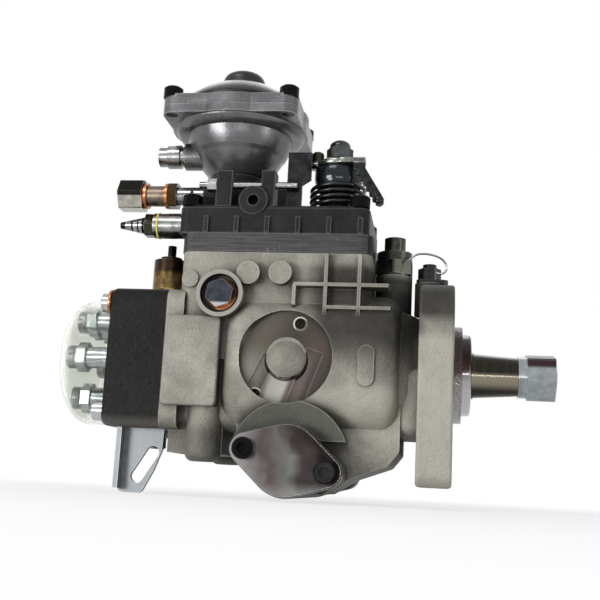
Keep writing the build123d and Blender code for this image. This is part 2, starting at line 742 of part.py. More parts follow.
# ================================================================ governor lever
with BuildPart() as governor_lever:
    lever_face = sleeve_nose - lever_gap
    with BuildSketch(Plane.YZ.offset(lever_face - lever_thickness)):
        with Locations((0, (lever_top + pivot_z - 6) / 2)):
            RectangleRounded(2 * lever_half_width, lever_top - pivot_z + 6, 2.5)
    extrude(amount=lever_thickness)
    # fork with the pivot eyes
    with BuildSketch(on_near_side(-18)):
        with BuildLine():
            Polyline((lever_face, pivot_z - 6), (lever_face, pivot_z + 6), (pivot_x - 5, pivot_z + 6),
                     (pivot_x - 5, pivot_z - 6), (lever_face, pivot_z - 6))
        make_face()
    extrude(amount=36)
    with BuildSketch(Plane.XY.offset(pivot_z - 6)):
        with Locations((pivot_x - 2, 0)):
            Rectangle(16, 26)
    extrude(amount=12, mode=Mode.SUBTRACT)
    with BuildSketch(Plane.YZ.offset(lever_face - lever_thickness)):
        with Locations((0, pivot_z)):
            Rectangle(36, 12)
    extrude(amount=lever_thickness)
    add(bar_y(-20, 40, pivot_tip_radius + running_gap, pivot_x, pivot_z), mode=Mode.SUBTRACT)
    # arm down to the ball in the control sleeve
    with BuildSketch(on_near_side(-3)):
        with BuildLine():
            Polyline((lever_face, pivot_z - 6), (lever_face, pivot_z), (lever_face - 3, pivot_z),
                     (pivot_x + 2, pivot_z - 8), (pivot_x - 1.8, pivot_z - 11), (pivot_x - 1.8, 14),
                     (pivot_x + 1.8, 14), (pivot_x + 1.8, pivot_z - 13), (lever_face, pivot_z - 6))
        make_face()
    extrude(amount=6)
    add(bar_z(sleeve_ball_height, 4, 1.5, pivot_x))
    with Locations((pivot_x, 0, sleeve_ball_height)):
        Sphere(ball_radius)
save(governor_lever.part, "governor_lever")

with BuildPart() as pivot_bolts:
    seat = pivot_boss_face - pivot_recess_depth
    for side in (-1, 1):
        head_plane = Plane(origin=(pivot_x, side * (seat + 1), pivot_z), x_dir=(1, 0, 0), z_dir=(0, side, 0))
        add(hexagon(head_plane, pivot_head_flats, pivot_head_height, 20))
        inner = 18.6
        shank_start = inner + 1.6
        low, high = sorted((side * shank_start, side * (seat + 1)))
        add(bar_y(low, high - low, pivot_shank_radius - 0.1, pivot_x, pivot_z))
        low, high = sorted((side * 12.5, side * shank_start))
        add(bar_y(low, high - low, pivot_tip_radius, pivot_x, pivot_z))
save(pivot_bolts.part, "pivot_bolts")

# ================================================================ timing device
with BuildPart() as timing_piston:
    add(bar_y(-piston_half_length, 2 * piston_half_length, timing_bore, timing_x, timing_z))
    chamfer(faces().filter_by(GeomType.PLANE).edges(), 0.8)
    # spring seat at the far end
    add(bar_y(piston_half_length - 10, 10, timing_bore - 4, timing_x, timing_z), mode=Mode.SUBTRACT)
    # socket for the ball of the timing pin, wider above it
    add(bar_z(timing_z - pin_ball_radius - 1, 40, pin_ball_radius + 0.3, timing_x), mode=Mode.SUBTRACT)
    with BuildSketch(Plane.XY.offset(timing_z + pin_ball_radius)):
        with Locations((timing_x, 0)):
            SlotOverall(17, 2 * pin_ball_radius + 0.6, rotation=90)
    extrude(amount=20, mode=Mode.SUBTRACT)
save(timing_piston.part, "timing_piston")

with BuildPart() as timing_spring:
    spring_foot = piston_half_length - 10 + 1.5
    add(coil((timing_x, spring_foot, timing_z), (0, 1, 0), timing_bore - 6, 1.4, timing_half_length - spring_foot - 1.5, 5))
save(timing_spring.part, "timing_spring")

with BuildPart() as timing_covers:
    for side in (-1, 1):
        start = timing_half_length if side < 0 else -timing_half_length - cover_thickness
        with BuildSketch(Plane.XZ.offset(start)):
            add(cover_outline)
            with Locations(*cover_places):
                Circle(screw_radius + bolt_gap, mode=Mode.SUBTRACT)
        extrude(amount=cover_thickness)
    chamfer(faces().sort_by(Axis.Y)[0].outer_wire().edges(), 0.6)
    chamfer(faces().sort_by(Axis.Y)[-1].outer_wire().edges(), 0.6)
save(timing_covers.part, "timing_covers")

# ================================================================ distributor head
valve_places = [(valve_circle / 2 * cos(radians(60 * k)), valve_circle / 2 * sin(radians(60 * k)))
                for k in range(valve_count)]
centre_plug_radius = 9.0
centre_plug_depth = 9.0
solenoid_place = (-157.5, 8.0)
bracket_screws = [(-159.5, -6.0), (-159.5, 14.0)]
solenoid_thread = 6.0
with BuildPart() as distributor_head:
    with BuildSketch(Plane.YZ.offset(head_face)):
        RectangleRounded(2 * collar_half_width, 2 * collar_half_height, collar_corner)
    extrude(amount=head_length)
    fillet(faces().sort_by(Axis.X)[0].edges(), head_edge)
    add(bar_x(head_face, head_length, plunger_radius + running_gap), mode=Mode.SUBTRACT)
    add(bar_x(head_face, centre_plug_depth, centre_plug_radius), mode=Mode.SUBTRACT)
    with BuildSketch(Plane.YZ.offset(head_face)):
        with Locations(*valve_places):
            Circle(valve_thread_radius)
    extrude(amount=valve_thread_depth, mode=Mode.SUBTRACT)
    with BuildSketch(Plane.YZ.offset(head_face)):
        with Locations(*head_screw_places):
            Circle(screw_radius + bolt_gap)
    extrude(amount=head_length, mode=Mode.SUBTRACT)
    for place_x, place_y in bracket_screws:
        add(bar_z(-collar_half_height, thread_grip + 1, screw_radius + running_gap, place_x, place_y),
            mode=Mode.SUBTRACT)
    # seat and bore of the shut-off solenoid
    add(bar_z(collar_half_height - 10, 12, solenoid_thread, *solenoid_place), mode=Mode.SUBTRACT)
    add(bar_z(collar_half_height - 20, 12, 3.5, *solenoid_place), mode=Mode.SUBTRACT)
save(distributor_head.part, "distributor_head")

with BuildPart() as centre_plug:
    add(bar_x(head_face, centre_plug_depth, centre_plug_radius))
    add(hexagon(Plane(origin=(head_face, 0, 0), x_dir=(0, 1, 0), z_dir=(-1, 0, 0)), 17, 5))
    chamfer(faces().sort_by(Axis.X)[0].edges(), 0.6)
save(centre_plug.part, "centre_plug")

with BuildPart() as valve_holders:
    for valve_y, valve_z in valve_places:
        hex_plane = Plane(origin=(head_face - valve_hex_start - valve_hex_height, valve_y, valve_z),
                          x_dir=(0, 1, 0), z_dir=(1, 0, 0))
        add(bar_x(head_face, valve_thread_depth, valve_thread_radius, valve_y, valve_z))
        add(bar_x(head_face - valve_hex_start, valve_hex_start, valve_body_radius, valve_y, valve_z))
        add(hexagon(hex_plane, valve_hex_flats, valve_hex_height, 30))
        add(bar_x(head_face - valve_end, valve_end - valve_hex_start - valve_hex_height, valve_end_radius - 1,
                  valve_y, valve_z))
        add(bar_x(head_face - valve_end, 3.5, valve_end_radius, valve_y, valve_z))
        # room for the delivery valve, open at the outlet
        add(bar_x(head_face - valve_end, valve_end + valve_thread_depth, 1.5, valve_y, valve_z),
            mode=Mode.SUBTRACT)
        add(bar_x(head_face - 6, 6 + valve_thread_depth, 3.4, valve_y, valve_z), mode=Mode.SUBTRACT)
save(valve_holders.part, "valve_holders")

with BuildPart() as delivery_valves:
    for valve_y, valve_z in valve_places:
        add(bar_x(head_face + valve_thread_depth - 8, 8, 3.35, valve_y, valve_z))
        add(bar_x(head_face + valve_thread_depth - 13, 5, 2.2, valve_y, valve_z))
save(delivery_valves.part, "delivery_valves")

with BuildPart() as outlet_cap:
    add(bar_x(head_face - cap_length, cap_length, cap_radius))
    fillet(faces().sort_by(Axis.X)[0].edges(), cap_round)
    offset(amount=-cap_wall, openings=faces().sort_by(Axis.X)[-1])
save(outlet_cap.part, "outlet_cap")

bracket_left = -167.5
bracket_right = -144.5
bracket_face = 25.0
bracket_sheet = 3.0
bracket_foot = -68.0
slot_length = 21.0
slot_width = 6.6
slot_lean = 59.0
with BuildPart() as support_bracket:
    with BuildSketch(on_near_side(bracket_face - bracket_sheet)) as bracket_outline:
        with BuildLine():
            Polyline((bracket_left, -collar_half_height), (bracket_right, -collar_half_height),
                     (bracket_right - 0.5, -46), (bracket_right - 4, -56), (bracket_left + 13, bracket_foot),
                     (bracket_left, bracket_foot), (bracket_left, -collar_half_height))
        make_face()
        fillet(bracket_outline.vertices().sort_by(Axis.Y)[0:2], 4)
    extrude(amount=bracket_sheet)
    # lip along the outer edge
    with BuildSketch(Plane.YZ.offset(bracket_left)):
        with Locations((-bracket_face - 2.5, (bracket_foot - collar_half_height) / 2 + 1)):
            Rectangle(7, -bracket_foot - collar_half_height - 2)
    extrude(amount=2.6)
    # foot plate screwed to the underside of the head
    with BuildSketch(Plane.XY.offset(-collar_half_height - bracket_sheet)):
        with Locations(((bracket_left - 150) / 2, -2)):
            RectangleRounded(-150 - bracket_left, 46, 2)
        with Locations(*bracket_screws):
            Circle(screw_radius + bolt_gap, mode=Mode.SUBTRACT)
    extrude(amount=bracket_sheet)
    # slanted slot
    with BuildSketch(on_near_side(bracket_face - bracket_sheet - 1)):
        with Locations((-153.4, -53.6)):
            SlotOverall(slot_length, slot_width, rotation=slot_lean)
    extrude(amount=bracket_sheet + 2, mode=Mode.SUBTRACT)
save(support_bracket.part, "support_bracket")

# ================================================================ governor cover
cover_screw_places = [(-137.5, 28.8), (-137.5, -28.8), (-49, 28.8), (-49, -28.8)]
return_y, return_z = -15.0, 91.0
full_load_y, full_load_z = -12.0, 75.0
stop_y, stop_z = -30.0, 92.6
with BuildPart() as governor_cover:
    with BuildSketch(Plane.XY.offset(seam_height)):
        with Locations(((top_left + top_right) / 2, 0)):
            RectangleRounded(top_right - top_left, 2 * top_half_width, top_corner)
    extrude(amount=band_height)
    with BuildSketch(Plane.XY.offset(seam_height + band_height)):
        with Locations(((cover_body_left + cover_body_right) / 2, 0)):
            RectangleRounded(cover_body_right - cover_body_left, 2 * cover_body_half_width, 5)
    extrude(amount=cover_roof - seam_height - band_height)
    chamfer(faces().sort_by(Axis.Z)[-1].edges(), 1.5)
    # ribs on the flanks
    with BuildSketch(Plane.XY.offset(seam_height + band_height)):
        with Locations(*[(-128 + 16 * k, side * cover_body_half_width) for k in range(6) for side in (-1, 1)]):
            Rectangle(2.5, 3)
    extrude(amount=9)
    # tower that carries the boost compensator
    add(bar_z(cover_roof, boost_seat - cover_roof, boost_neck_radius, boost_x))
    with BuildSketch(Plane.XY.offset(cover_roof)):
        with Locations((boost_x + 18, 6)):
            Rectangle(22, 20)
    extrude(amount=19)
    # lugs of the stop screw
    with BuildSketch(on_near_side(24)):
        with Locations((-120.2, 89)):
            Rectangle(8.4, 22)
        with Locations((-96.9, 89)):
            Rectangle(7.2, 22)
    extrude(amount=9)
    # bosses: side plug, return line, full-load screw, throttle shaft
    add(bar_y(-35, 25, 7.6, -104.0, 83.3))
    add(bar_x(-134, 14, 8, return_y, return_z))
    with BuildSketch(Plane.XY.offset(cover_roof)):
        with Locations((-128, return_y)):
            Rectangle(12, 14)
    extrude(amount=8)
    add(bar_x(cover_body_left - 1, 14, 8.2, full_load_y, full_load_z - 1))
    add(bar_z(cover_roof, 1.5, 15.5, throttle_x, throttle_y))
    # room over the governor
    with BuildSketch(Plane.XY.offset(seam_height)):
        with Locations(((room_left + room_right) / 2, 0)):
            RectangleRounded(room_right - room_left, 2 * cover_room_half_width, 3)
    extrude(amount=cover_room_top - seam_height, mode=Mode.SUBTRACT)
    # bores
    add(bar_z(cover_room_top - 1, 30, boost_pin_radius + moving_gap, boost_x), mode=Mode.SUBTRACT)
    add(bar_z(cover_room_top - 1, 10, throttle_shaft_radius + running_gap, throttle_x, throttle_y),
        mode=Mode.SUBTRACT)
    add(bar_x(-135, 10, 4, return_y, return_z), mode=Mode.SUBTRACT)
    add(bar_x(cover_body_left - 2, 14, 4, full_load_y, full_load_z), mode=Mode.SUBTRACT)
    add(bar_y(-36, 9, 2.8, -104.0, 83.3), mode=Mode.SUBTRACT)
    add(bar_x(-140, 60, 1.8, stop_y, stop_z), mode=Mode.SUBTRACT)
    with BuildSketch(Plane.XY.offset(seam_height)):
        with Locations(*cover_screw_places):
            Circle(screw_radius + bolt_gap)
    extrude(amount=cover_roof - seam_height, mode=Mode.SUBTRACT)
save(governor_cover.part, "governor_cover")

# ================================================================ boost compensator
with BuildSketch() as boost_flange_shape:
    with Locations((boost_x, 0)):
        RectangleRounded(2 * boost_screw_x + 10, 2 * boost_screw_y + 10, 7)
        Circle(boost_disc_radius)
boost_outline = boost_flange_shape.sketch
boost_screws = [(boost_x + i * boost_screw_x, j * boost_screw_y) for i in (-1, 1) for j in (-1, 1)]

fitting_y, fitting_z = -5.0, 117.0
fitting_face = -149.5
with BuildPart() as boost_lower_shell:
    with BuildSketch(Plane.XZ):
        with BuildLine():
            bowl = [(0, boost_seat), (14, boost_seat), (19.5, 109.3), (24.5, 116.5), (26.2, 118.6),
                    (28.3, 123.4), (29.6, 127.8), (33.4, 128.2), (35.4, 129.6), (36.5, boost_flange_z),
                    (36.5, boost_joint), (0, boost_joint)]
            ring = [(boost_x + r, z) for r, z in bowl]
            Line(ring[0], ring[1])
            ThreePointArc(ring[1], ring[2], ring[3])
            Line(ring[3], ring[4])
            ThreePointArc(ring[4], ring[5], ring[6])
            Line(ring[6], ring[7])
            ThreePointArc(ring[7], ring[8], ring[9])
            Polyline(ring[9], ring[10], ring[11], ring[0])
        make_face()
    revolve(axis=Axis((boost_x, 0, 0), (0, 0, 1)))
    with BuildSketch(Plane.XY.offset(boost_flange_z)):
        add(boost_outline)
    extrude(amount=boost_joint - boost_flange_z)
    # room under the diaphragm
    add(bar_z(122, boost_joint - 122, 25, boost_x), mode=Mode.SUBTRACT)
    add(bar_z(boost_seat, 20, boost_pin_radius + running_gap, boost_x), mode=Mode.SUBTRACT)
    with BuildSketch(Plane.XY.offset(boost_flange_z)):
        with Locations(*boost_screws):
            Circle(screw_radius + bolt_gap)
    extrude(amount=10, mode=Mode.SUBTRACT)
    # air fitting's boss and tapped hole
    add(bar_x(fitting_face, 12, 7.5, fitting_y, fitting_z))
    add(bar_x(fitting_face, 9, 4, fitting_y, fitting_z), mode=Mode.SUBTRACT)
save(boost_lower_shell.part, "boost_lower_shell")

with BuildPart() as boost_upper_cover:
    with BuildSketch(Plane.XY.offset(boost_joint)):
        add(boost_outline)
    extrude(amount=boost_flange_top - boost_joint)
    with BuildSketch(Plane.XZ):
        with BuildLine():
            ThreePointArc((boost_x + 36.5, boost_flange_top), (boost_x + 27, 149.2), (boost_x + 14, 155.2))
            Polyline((boost_x + 14, 155.2), (boost_x + 13, boost_dome_top), (boost_x, boost_dome_top),
                     (boost_x, boost_flange_top), (boost_x + 36.5, boost_flange_top))
        make_face()
    revolve(axis=Axis((boost_x, 0, 0), (0, 0, 1)))
    add(bar_z(boost_joint, 9, 25, boost_x), mode=Mode.SUBTRACT)
    with BuildSketch(Plane.XY.offset(boost_joint)):
        with Locations(*boost_screws):
            Circle(screw_radius + bolt_gap)
    extrude(amount=10, mode=Mode.SUBTRACT)
    # counterbores for the screw heads
    with BuildSketch(Plane.XY.offset(boost_flange_top - boost_screw_sink)):
        with Locations(*boost_screws):
            Circle(screw_head_radius + bolt_gap)
    extrude(amount=6, mode=Mode.SUBTRACT)
save(boost_upper_cover.part, "boost_upper_cover")

with BuildPart() as boost_plug:
    add(bar_z(boost_dome_top, 9.5, 11.8, boost_x))
    fillet(faces().sort_by(Axis.Z)[-1].edges(), 5)
save(boost_plug.part, "boost_plug")

diaphragm_thickness = 1.4
plate_top = boost_joint - 1.0
with BuildPart() as boost_diaphragm:
    add(bar_z(boost_joint - 1, diaphragm_thickness - 0.4, 24.6, boost_x))
save(boost_diaphragm.part, "boost_diaphragm")

with BuildPart() as boost_pin:
    pin_bottom = cover_room_top + 2.5
    add(bar_z(pin_bottom, plate_top - pin_bottom, boost_pin_radius, boost_x))
    add(bar_z(plate_top - 2, 2, 18, boost_x))
save(boost_pin.part, "boost_pin")

with BuildPart() as boost_spring:
    add(coil((boost_x, 0, 122 + 1.5), (0, 0, 1), 12, 1.3,
             plate_top - 2 - 122 - 3.0, 3))
save(boost_spring.part, "boost_spring")

with BuildPart() as boost_fitting:
    add(bar_x(-164.5, 5, 5.6, fitting_y, fitting_z))
    add(bar_x(-159.5, 7, 6.6, fitting_y, fitting_z))
    add(bar_x(-152.5, 2, 5.2, fitting_y, fitting_z))
    add(bar_x(-150.5, 1, 6.2, fitting_y, fitting_z))
    add(bar_x(fitting_face, 8, 4, fitting_y, fitting_z))
save(boost_fitting.part, "boost_fitting")

# ================================================================ throttle lever group
with BuildPart() as throttle_shaft:
    crank_radius = 8.0
    add(bar_z(71.5, 4.5, crank_radius, throttle_x, throttle_y))
    add(bar_z(75.5, 46, throttle_shaft_radius, throttle_x, throttle_y))
save(throttle_shaft.part, "throttle_shaft")

with BuildPart() as throttle_cup:
    add(bar_z(cup_bottom, cup_top - cup_bottom, cup_radius, throttle_x, throttle_y))
    fillet(faces().sort_by(Axis.Z)[-1].edges(), 1.5)
    add(bar_z(cup_bottom, cup_top - cup_bottom - 2.5, cup_radius - 1.6, throttle_x, throttle_y),
        mode=Mode.SUBTRACT)
    add(bar_z(cup_bottom, 20, throttle_shaft_radius, throttle_x, throttle_y), mode=Mode.SUBTRACT)
save(throttle_cup.part, "throttle_cup")

lever_bottom = cup_top
with BuildPart() as throttle_lever:
    with BuildSketch(Plane.XY.offset(lever_bottom)) as lever_outline:
        with Locations((throttle_x, throttle_y)):
            Circle(12)
        with Locations((throttle_x - 11.5, throttle_y - 2)):
            Circle(4.2)
        with Locations((throttle_x + 19, throttle_y)):
            Rectangle(12, 16)
        make_hull()
    extrude(amount=3)
    add(bar_z(lever_bottom + 3, 2.5, 8, throttle_x, throttle_y))
    # leg that hangs outside the spring, with a serrated edge
    with BuildSketch(Plane.XY.offset(84)):
        with Locations((throttle_x + 23.5, throttle_y)):
            Rectangle(3, 16)
    extrude(amount=lever_bottom - 84 + 1)
    with BuildSketch(Plane.YZ.offset(throttle_x + 25)):
        with Locations(*[(throttle_y, 86 + 3.2 * k) for k in range(6)]):
            Rectangle(16, 1.4)
    extrude(amount=1.2)
    add(bar_z(lever_bottom + 3, 7, 3.2, throttle_x - 11.5, throttle_y - 2))
    add(bar_z(lever_bottom, 20, throttle_shaft_radius, throttle_x, throttle_y), mode=Mode.SUBTRACT)
save(throttle_lever.part, "throttle_lever")

with BuildPart() as throttle_nut:
    nut_base = lever_bottom + 5.5
    add(hexagon(Plane(origin=(throttle_x, throttle_y, nut_base)), 13, 6))
    add(bar_z(nut_base, 11, 5.6, throttle_x, throttle_y))
    fillet(faces().sort_by(Axis.Z)[-1].edges(), 3.5)
    add(bar_z(nut_base, 9, throttle_shaft_radius, throttle_x, throttle_y), mode=Mode.SUBTRACT)
save(throttle_nut.part, "throttle_nut")

with BuildPart() as throttle_spring:
    add(coil((throttle_x, throttle_y, cover_roof + 1.5 + throttle_spring_wire + 0.1), (0, 0, 1),
             throttle_spring_radius, throttle_spring_wire,
             cup_bottom - cover_roof - 1.5 - 2 * throttle_spring_wire - 0.3, throttle_spring_turns))
save(throttle_spring.part, "throttle_spring")

bracket_top = 112.0
with BuildPart() as lever_bracket:
    with BuildSketch(on_near_side(25)):
        with BuildLine():
            Polyline((-86, cover_roof), (-80, cover_roof), (-80, 94), (-75.5, 97), (-75.5, bracket_top),
                     (-86, bracket_top), (-86, cover_roof))
        make_face()
    extrude(amount=2)
    with BuildSketch(Plane.YZ.offset(-88)):
        with Locations((-22, (cover_roof + bracket_top) / 2)):
            Rectangle(10, bracket_top - cover_roof)
    extrude(amount=2)
    with BuildSketch(Plane.XY.offset(bracket_top - 2)):
        with Locations((-83.75, -22)):
            Rectangle(8.5, 10)
    extrude(amount=2)
save(lever_bracket.part, "lever_bracket")

# ================================================================ fittings and screws
with BuildPart() as return_bolt:
    add(hexagon(Plane(origin=(-168.3, return_y, return_z), x_dir=(0, 1, 0), z_dir=(-1, 0, 0)), 16, 13.3))
    add(bar_x(-168.3, 22, 3.5, return_y, return_z))
save(return_bolt.part, "return_bolt")

with BuildPart() as return_spacer:
    add(bar_x(-166.3, 10.3, 5.7, return_y, return_z))
    add(bar_x(-166.3, 10.3, 3.5, return_y, return_z), mode=Mode.SUBTRACT)
save(return_spacer.part, "return_spacer")

with BuildPart() as return_valve:
    add(hexagon(Plane(origin=(-154.5, return_y, return_z), x_dir=(0, 1, 0), z_dir=(1, 0, 0)), 13, 5))
    add(bar_x(-149.5, 15.5, 5, return_y, return_z))
    add(bar_x(-134, 8, 4, return_y, return_z))
    add(bar_x(-154.5, 9, 3.5, return_y, return_z), mode=Mode.SUBTRACT)
    add(bar_y(return_y - 6, 4, 0.9, -141, return_z + 1), mode=Mode.SUBTRACT)
save(return_valve.part, "return_valve")

with BuildPart() as sealing_washers:
    for start in (-168.3, -156.0):
        length = 2.0 if start < -160 else 1.5
        add(bar_x(start, length, 7, return_y, return_z))
        add(bar_x(start, length, 3.5, return_y, return_z), mode=Mode.SUBTRACT)
    for side in (-1, 1):
        low = seat if side > 0 else -seat - 1
        add(bar_y(low, 1, 8, pivot_x, pivot_z))
        add(bar_y(low, 1, pivot_shank_radius - 0.1, pivot_x, pivot_z), mode=Mode.SUBTRACT)
save(sealing_washers.part, "sealing_washers")

with BuildPart() as adjusting_screws:
    # full-load screw with its pointed end
    with BuildSketch(Plane.YZ.offset(-181.6)):
        with Locations((full_load_y, full_load_z)):
            Circle(1.8)
    with BuildSketch(Plane.YZ.offset(-168.5)):
        with Locations((full_load_y, full_load_z)):
            Circle(4.6)
    loft()
    add(bar_x(-168.5, 36, 4, full_load_y, full_load_z))
    # stop screw through its lugs
    add(bar_x(-134, 52, 1.75, stop_y, stop_z))
save(adjusting_screws.part, "adjusting_screws")

with BuildPart() as adjusting_nuts:
    add(hexagon(Plane(origin=(-167, full_load_y, full_load_z), x_dir=(0, 1, 0), z_dir=(1, 0, 0)), 12, 5))
    add(bar_x(-167, 5, 4, full_load_y, full_load_z), mode=Mode.SUBTRACT)
    add(hexagon(Plane(origin=(-129.4, stop_y, stop_z), x_dir=(0, 1, 0), z_dir=(1, 0, 0)), 7, 5))
    add(bar_x(-129.4, 5, 1.75, stop_y, stop_z), mode=Mode.SUBTRACT)
save(adjusting_nuts.part, "adjusting_nuts")

with BuildPart() as full_load_sleeve:
    add(bar_x(-162, cover_body_left - 1 + 162, 7, full_load_y, full_load_z))
    add(bar_x(-162, cover_body_left - 1 + 162, 4, full_load_y, full_load_z), mode=Mode.SUBTRACT)
save(full_load_sleeve.part, "full_load_sleeve")

solenoid_x, solenoid_y = solenoid_place
with BuildPart() as solenoid_body:
    add(hexagon(Plane(origin=(solenoid_x, solenoid_y, collar_half_height)), 20, 7))
    add(bar_z(collar_half_height + 7, 17, 9.4, solenoid_x, solenoid_y))
    add(bar_z(collar_half_height + 24, 2, 6, solenoid_x, solenoid_y))
    add(bar_z(collar_half_height + 26, 7, 2.4, solenoid_x, solenoid_y))
    add(bar_z(collar_half_height - 10, 10, solenoid_thread, solenoid_x, solenoid_y))
    add(bar_z(collar_half_height - 10, 22, 3.1 + running_gap, solenoid_x, solenoid_y), mode=Mode.SUBTRACT)
save(solenoid_body.part, "solenoid_body")

with BuildPart() as solenoid_armature:
    add(bar_z(collar_half_height - 17, 26, 3.1, solenoid_x, solenoid_y))
save(solenoid_armature.part, "solenoid_armature")

with BuildPart() as inlet_fitting:
    add(bar_z(50, 13, 9.2, -31.5, -5))
    add(hexagon(Plane(origin=(-31.5, -5, 51)), 19, 7, 30))
    add(bar_z(63, 8, 5.6, -31.5, -5))
    add(bar_z(34, 16, 5, -31.5, -5))
save(inlet_fitting.part, "inlet_fitting")

with BuildPart() as lock_bolt:
    add(bar_z(36, lock_seat - 36, screw_radius, *lock_place))
    # keyed washer that holds the lock bolt away from the shaft
    with BuildSketch(Plane.XY.offset(lock_seat)):
        with Locations((lock_place[0] + 1.5, lock_place[1])):
            RectangleRounded(16.5, 12, 3)
    extrude(amount=1.6)
    add(hexagon(Plane(origin=(*lock_place, lock_seat + 1.6)), 11, 6.4))
    add(bar_z(lock_seat + 8, 2.4, 3.6, *lock_place))
save(lock_bolt.part, "lock_bolt")


def socket_screw(plane, shank):
    """Socket-head screw standing on a plane, its shank going back through it."""
    with BuildPart() as screw:
        with BuildSketch(plane):
            Circle(screw_head_radius)
        extrude(amount=screw_head_height)
        chamfer(edges().group_by(Axis(plane.origin, plane.z_dir))[-1], 0.7)
        with BuildSketch(plane.offset(screw_head_height - 3)):
            RegularPolygon(hex_socket_flats / 2, 6, major_radius=False)
        extrude(amount=3, mode=Mode.SUBTRACT)
        with BuildSketch(plane):
            Circle(screw_radius)
        extrude(amount=-shank)
    return screw.part


with BuildPart() as socket_screws:
    for place_y, place_z in head_screw_places:
        add(socket_screw(Plane(origin=(head_face, place_y, place_z), x_dir=(0, 1, 0), z_dir=(-1, 0, 0)),
                         head_length + thread_grip))
    for place_x, place_y in cover_screw_places:
        add(socket_screw(Plane(origin=(place_x, place_y, cover_roof)), cover_roof - seam_height))
    for place_x, place_y in boost_screws:
        add(socket_screw(Plane(origin=(place_x, place_y, boost_flange_top - boost_screw_sink)),
                         boost_flange_top - boost_screw_sink - boost_flange_z))
    for side in (-1, 1):
        face = timing_half_length + cover_thickness
        for place_x, place_z in cover_places:
            add(socket_screw(Plane(origin=(place_x, side * face, place_z), x_dir=(1, 0, 0), z_dir=(0, side, 0)),
                             cover_thickness + thread_grip))
    for place_x, place_y in bracket_screws:
        add(socket_screw(Plane(origin=(place_x, place_y, -collar_half_height - bracket_sheet),
                               x_dir=(1, 0, 0), z_dir=(0, 0, -1)), bracket_sheet + thread_grip))
save(socket_screws.part, "socket_screws")

with BuildPart() as governor_spring:
    spring_y = -6.0
    spring_left = lever_face + 1.6
    spring_right = throttle_x - sqrt(crank_radius**2 - (spring_y - throttle_y)**2) - 1.6
    add(coil((spring_left, spring_y, 72.4), (1, 0, 0), 2.2, 0.6,
             spring_right - spring_left, 7))
save(governor_spring.part, "governor_spring")
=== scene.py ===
import json
from math import cos, pi, radians, sin

import bmesh
import bpy
from mathutils import Matrix, Vector


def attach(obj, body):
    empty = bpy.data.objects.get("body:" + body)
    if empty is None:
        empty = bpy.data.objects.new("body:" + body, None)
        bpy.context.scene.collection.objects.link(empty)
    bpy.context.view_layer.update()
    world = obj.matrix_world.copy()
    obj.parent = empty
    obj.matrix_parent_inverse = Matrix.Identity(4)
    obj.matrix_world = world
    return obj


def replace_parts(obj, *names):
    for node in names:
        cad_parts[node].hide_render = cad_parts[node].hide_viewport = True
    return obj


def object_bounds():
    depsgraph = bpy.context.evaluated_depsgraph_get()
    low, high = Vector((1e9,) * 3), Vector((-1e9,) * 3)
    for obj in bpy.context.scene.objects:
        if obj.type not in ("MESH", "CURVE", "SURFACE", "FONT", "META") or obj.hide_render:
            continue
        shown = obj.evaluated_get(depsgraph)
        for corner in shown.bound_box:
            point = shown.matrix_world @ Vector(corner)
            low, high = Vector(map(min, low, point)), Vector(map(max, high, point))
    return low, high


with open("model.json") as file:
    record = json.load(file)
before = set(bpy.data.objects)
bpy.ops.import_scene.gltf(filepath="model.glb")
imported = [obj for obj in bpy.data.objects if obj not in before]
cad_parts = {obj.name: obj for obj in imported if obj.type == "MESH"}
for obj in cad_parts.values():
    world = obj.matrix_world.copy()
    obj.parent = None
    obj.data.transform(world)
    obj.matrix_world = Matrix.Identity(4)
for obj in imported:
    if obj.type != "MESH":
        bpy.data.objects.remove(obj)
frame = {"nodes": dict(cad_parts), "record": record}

cad_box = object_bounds()

# Diesel injection pump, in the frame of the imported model: +X along the drive shaft out of the pump, +Z up,
# -Y towards the machined pocket. Places and sizes are in mm, and MM makes metres; only the stage, the lamps
# and the camera, at the end, are given in metres.
MM = 0.001

# places on the solids that finishes and new pieces line up with
POCKET_CENTRE, POCKET_RADIUS, POCKET_DOME_RADIUS = (-81.8, 1.6), 23.35, 10.1      # x, z of the milled pocket
POCKET_HOLES = ((-75.6, 18.6), (-96.6, -17.2))                                    # x, z
PIVOT_CENTRE = (-116.6, 32.3)                                                     # x, z of the pivot bolt
TIMING_CENTRE = (-77.0, -49.0)                                                    # x, z of the timing piston
COVER_JOINT = 55.5                                                                # z
HEAD_FACE = -175.0                                                                # x
HEAD_WASHER_CENTRE = (-30, 28)                                                    # y, z
VALVE_COUNT, VALVE_CIRCLE_RADIUS = 6, 23.5
FULL_LOAD = (-12, 75)                                                             # y, z of the screw
STOP_SCREW = (-30, 92.6)                                                          # y, z
BOOST_X, BOOST_JOINT, BOOST_FLANGE_TOP = -120.5, 136.5, 142.0
THROTTLE = (-62.5, -12.0)                                                         # x, y of the shaft


# ------------------------------------------------------------------ node helpers
def lighter(colour, gain, lift=0.0):
    return tuple(min(1.0, channel * gain + lift) for channel in colour)


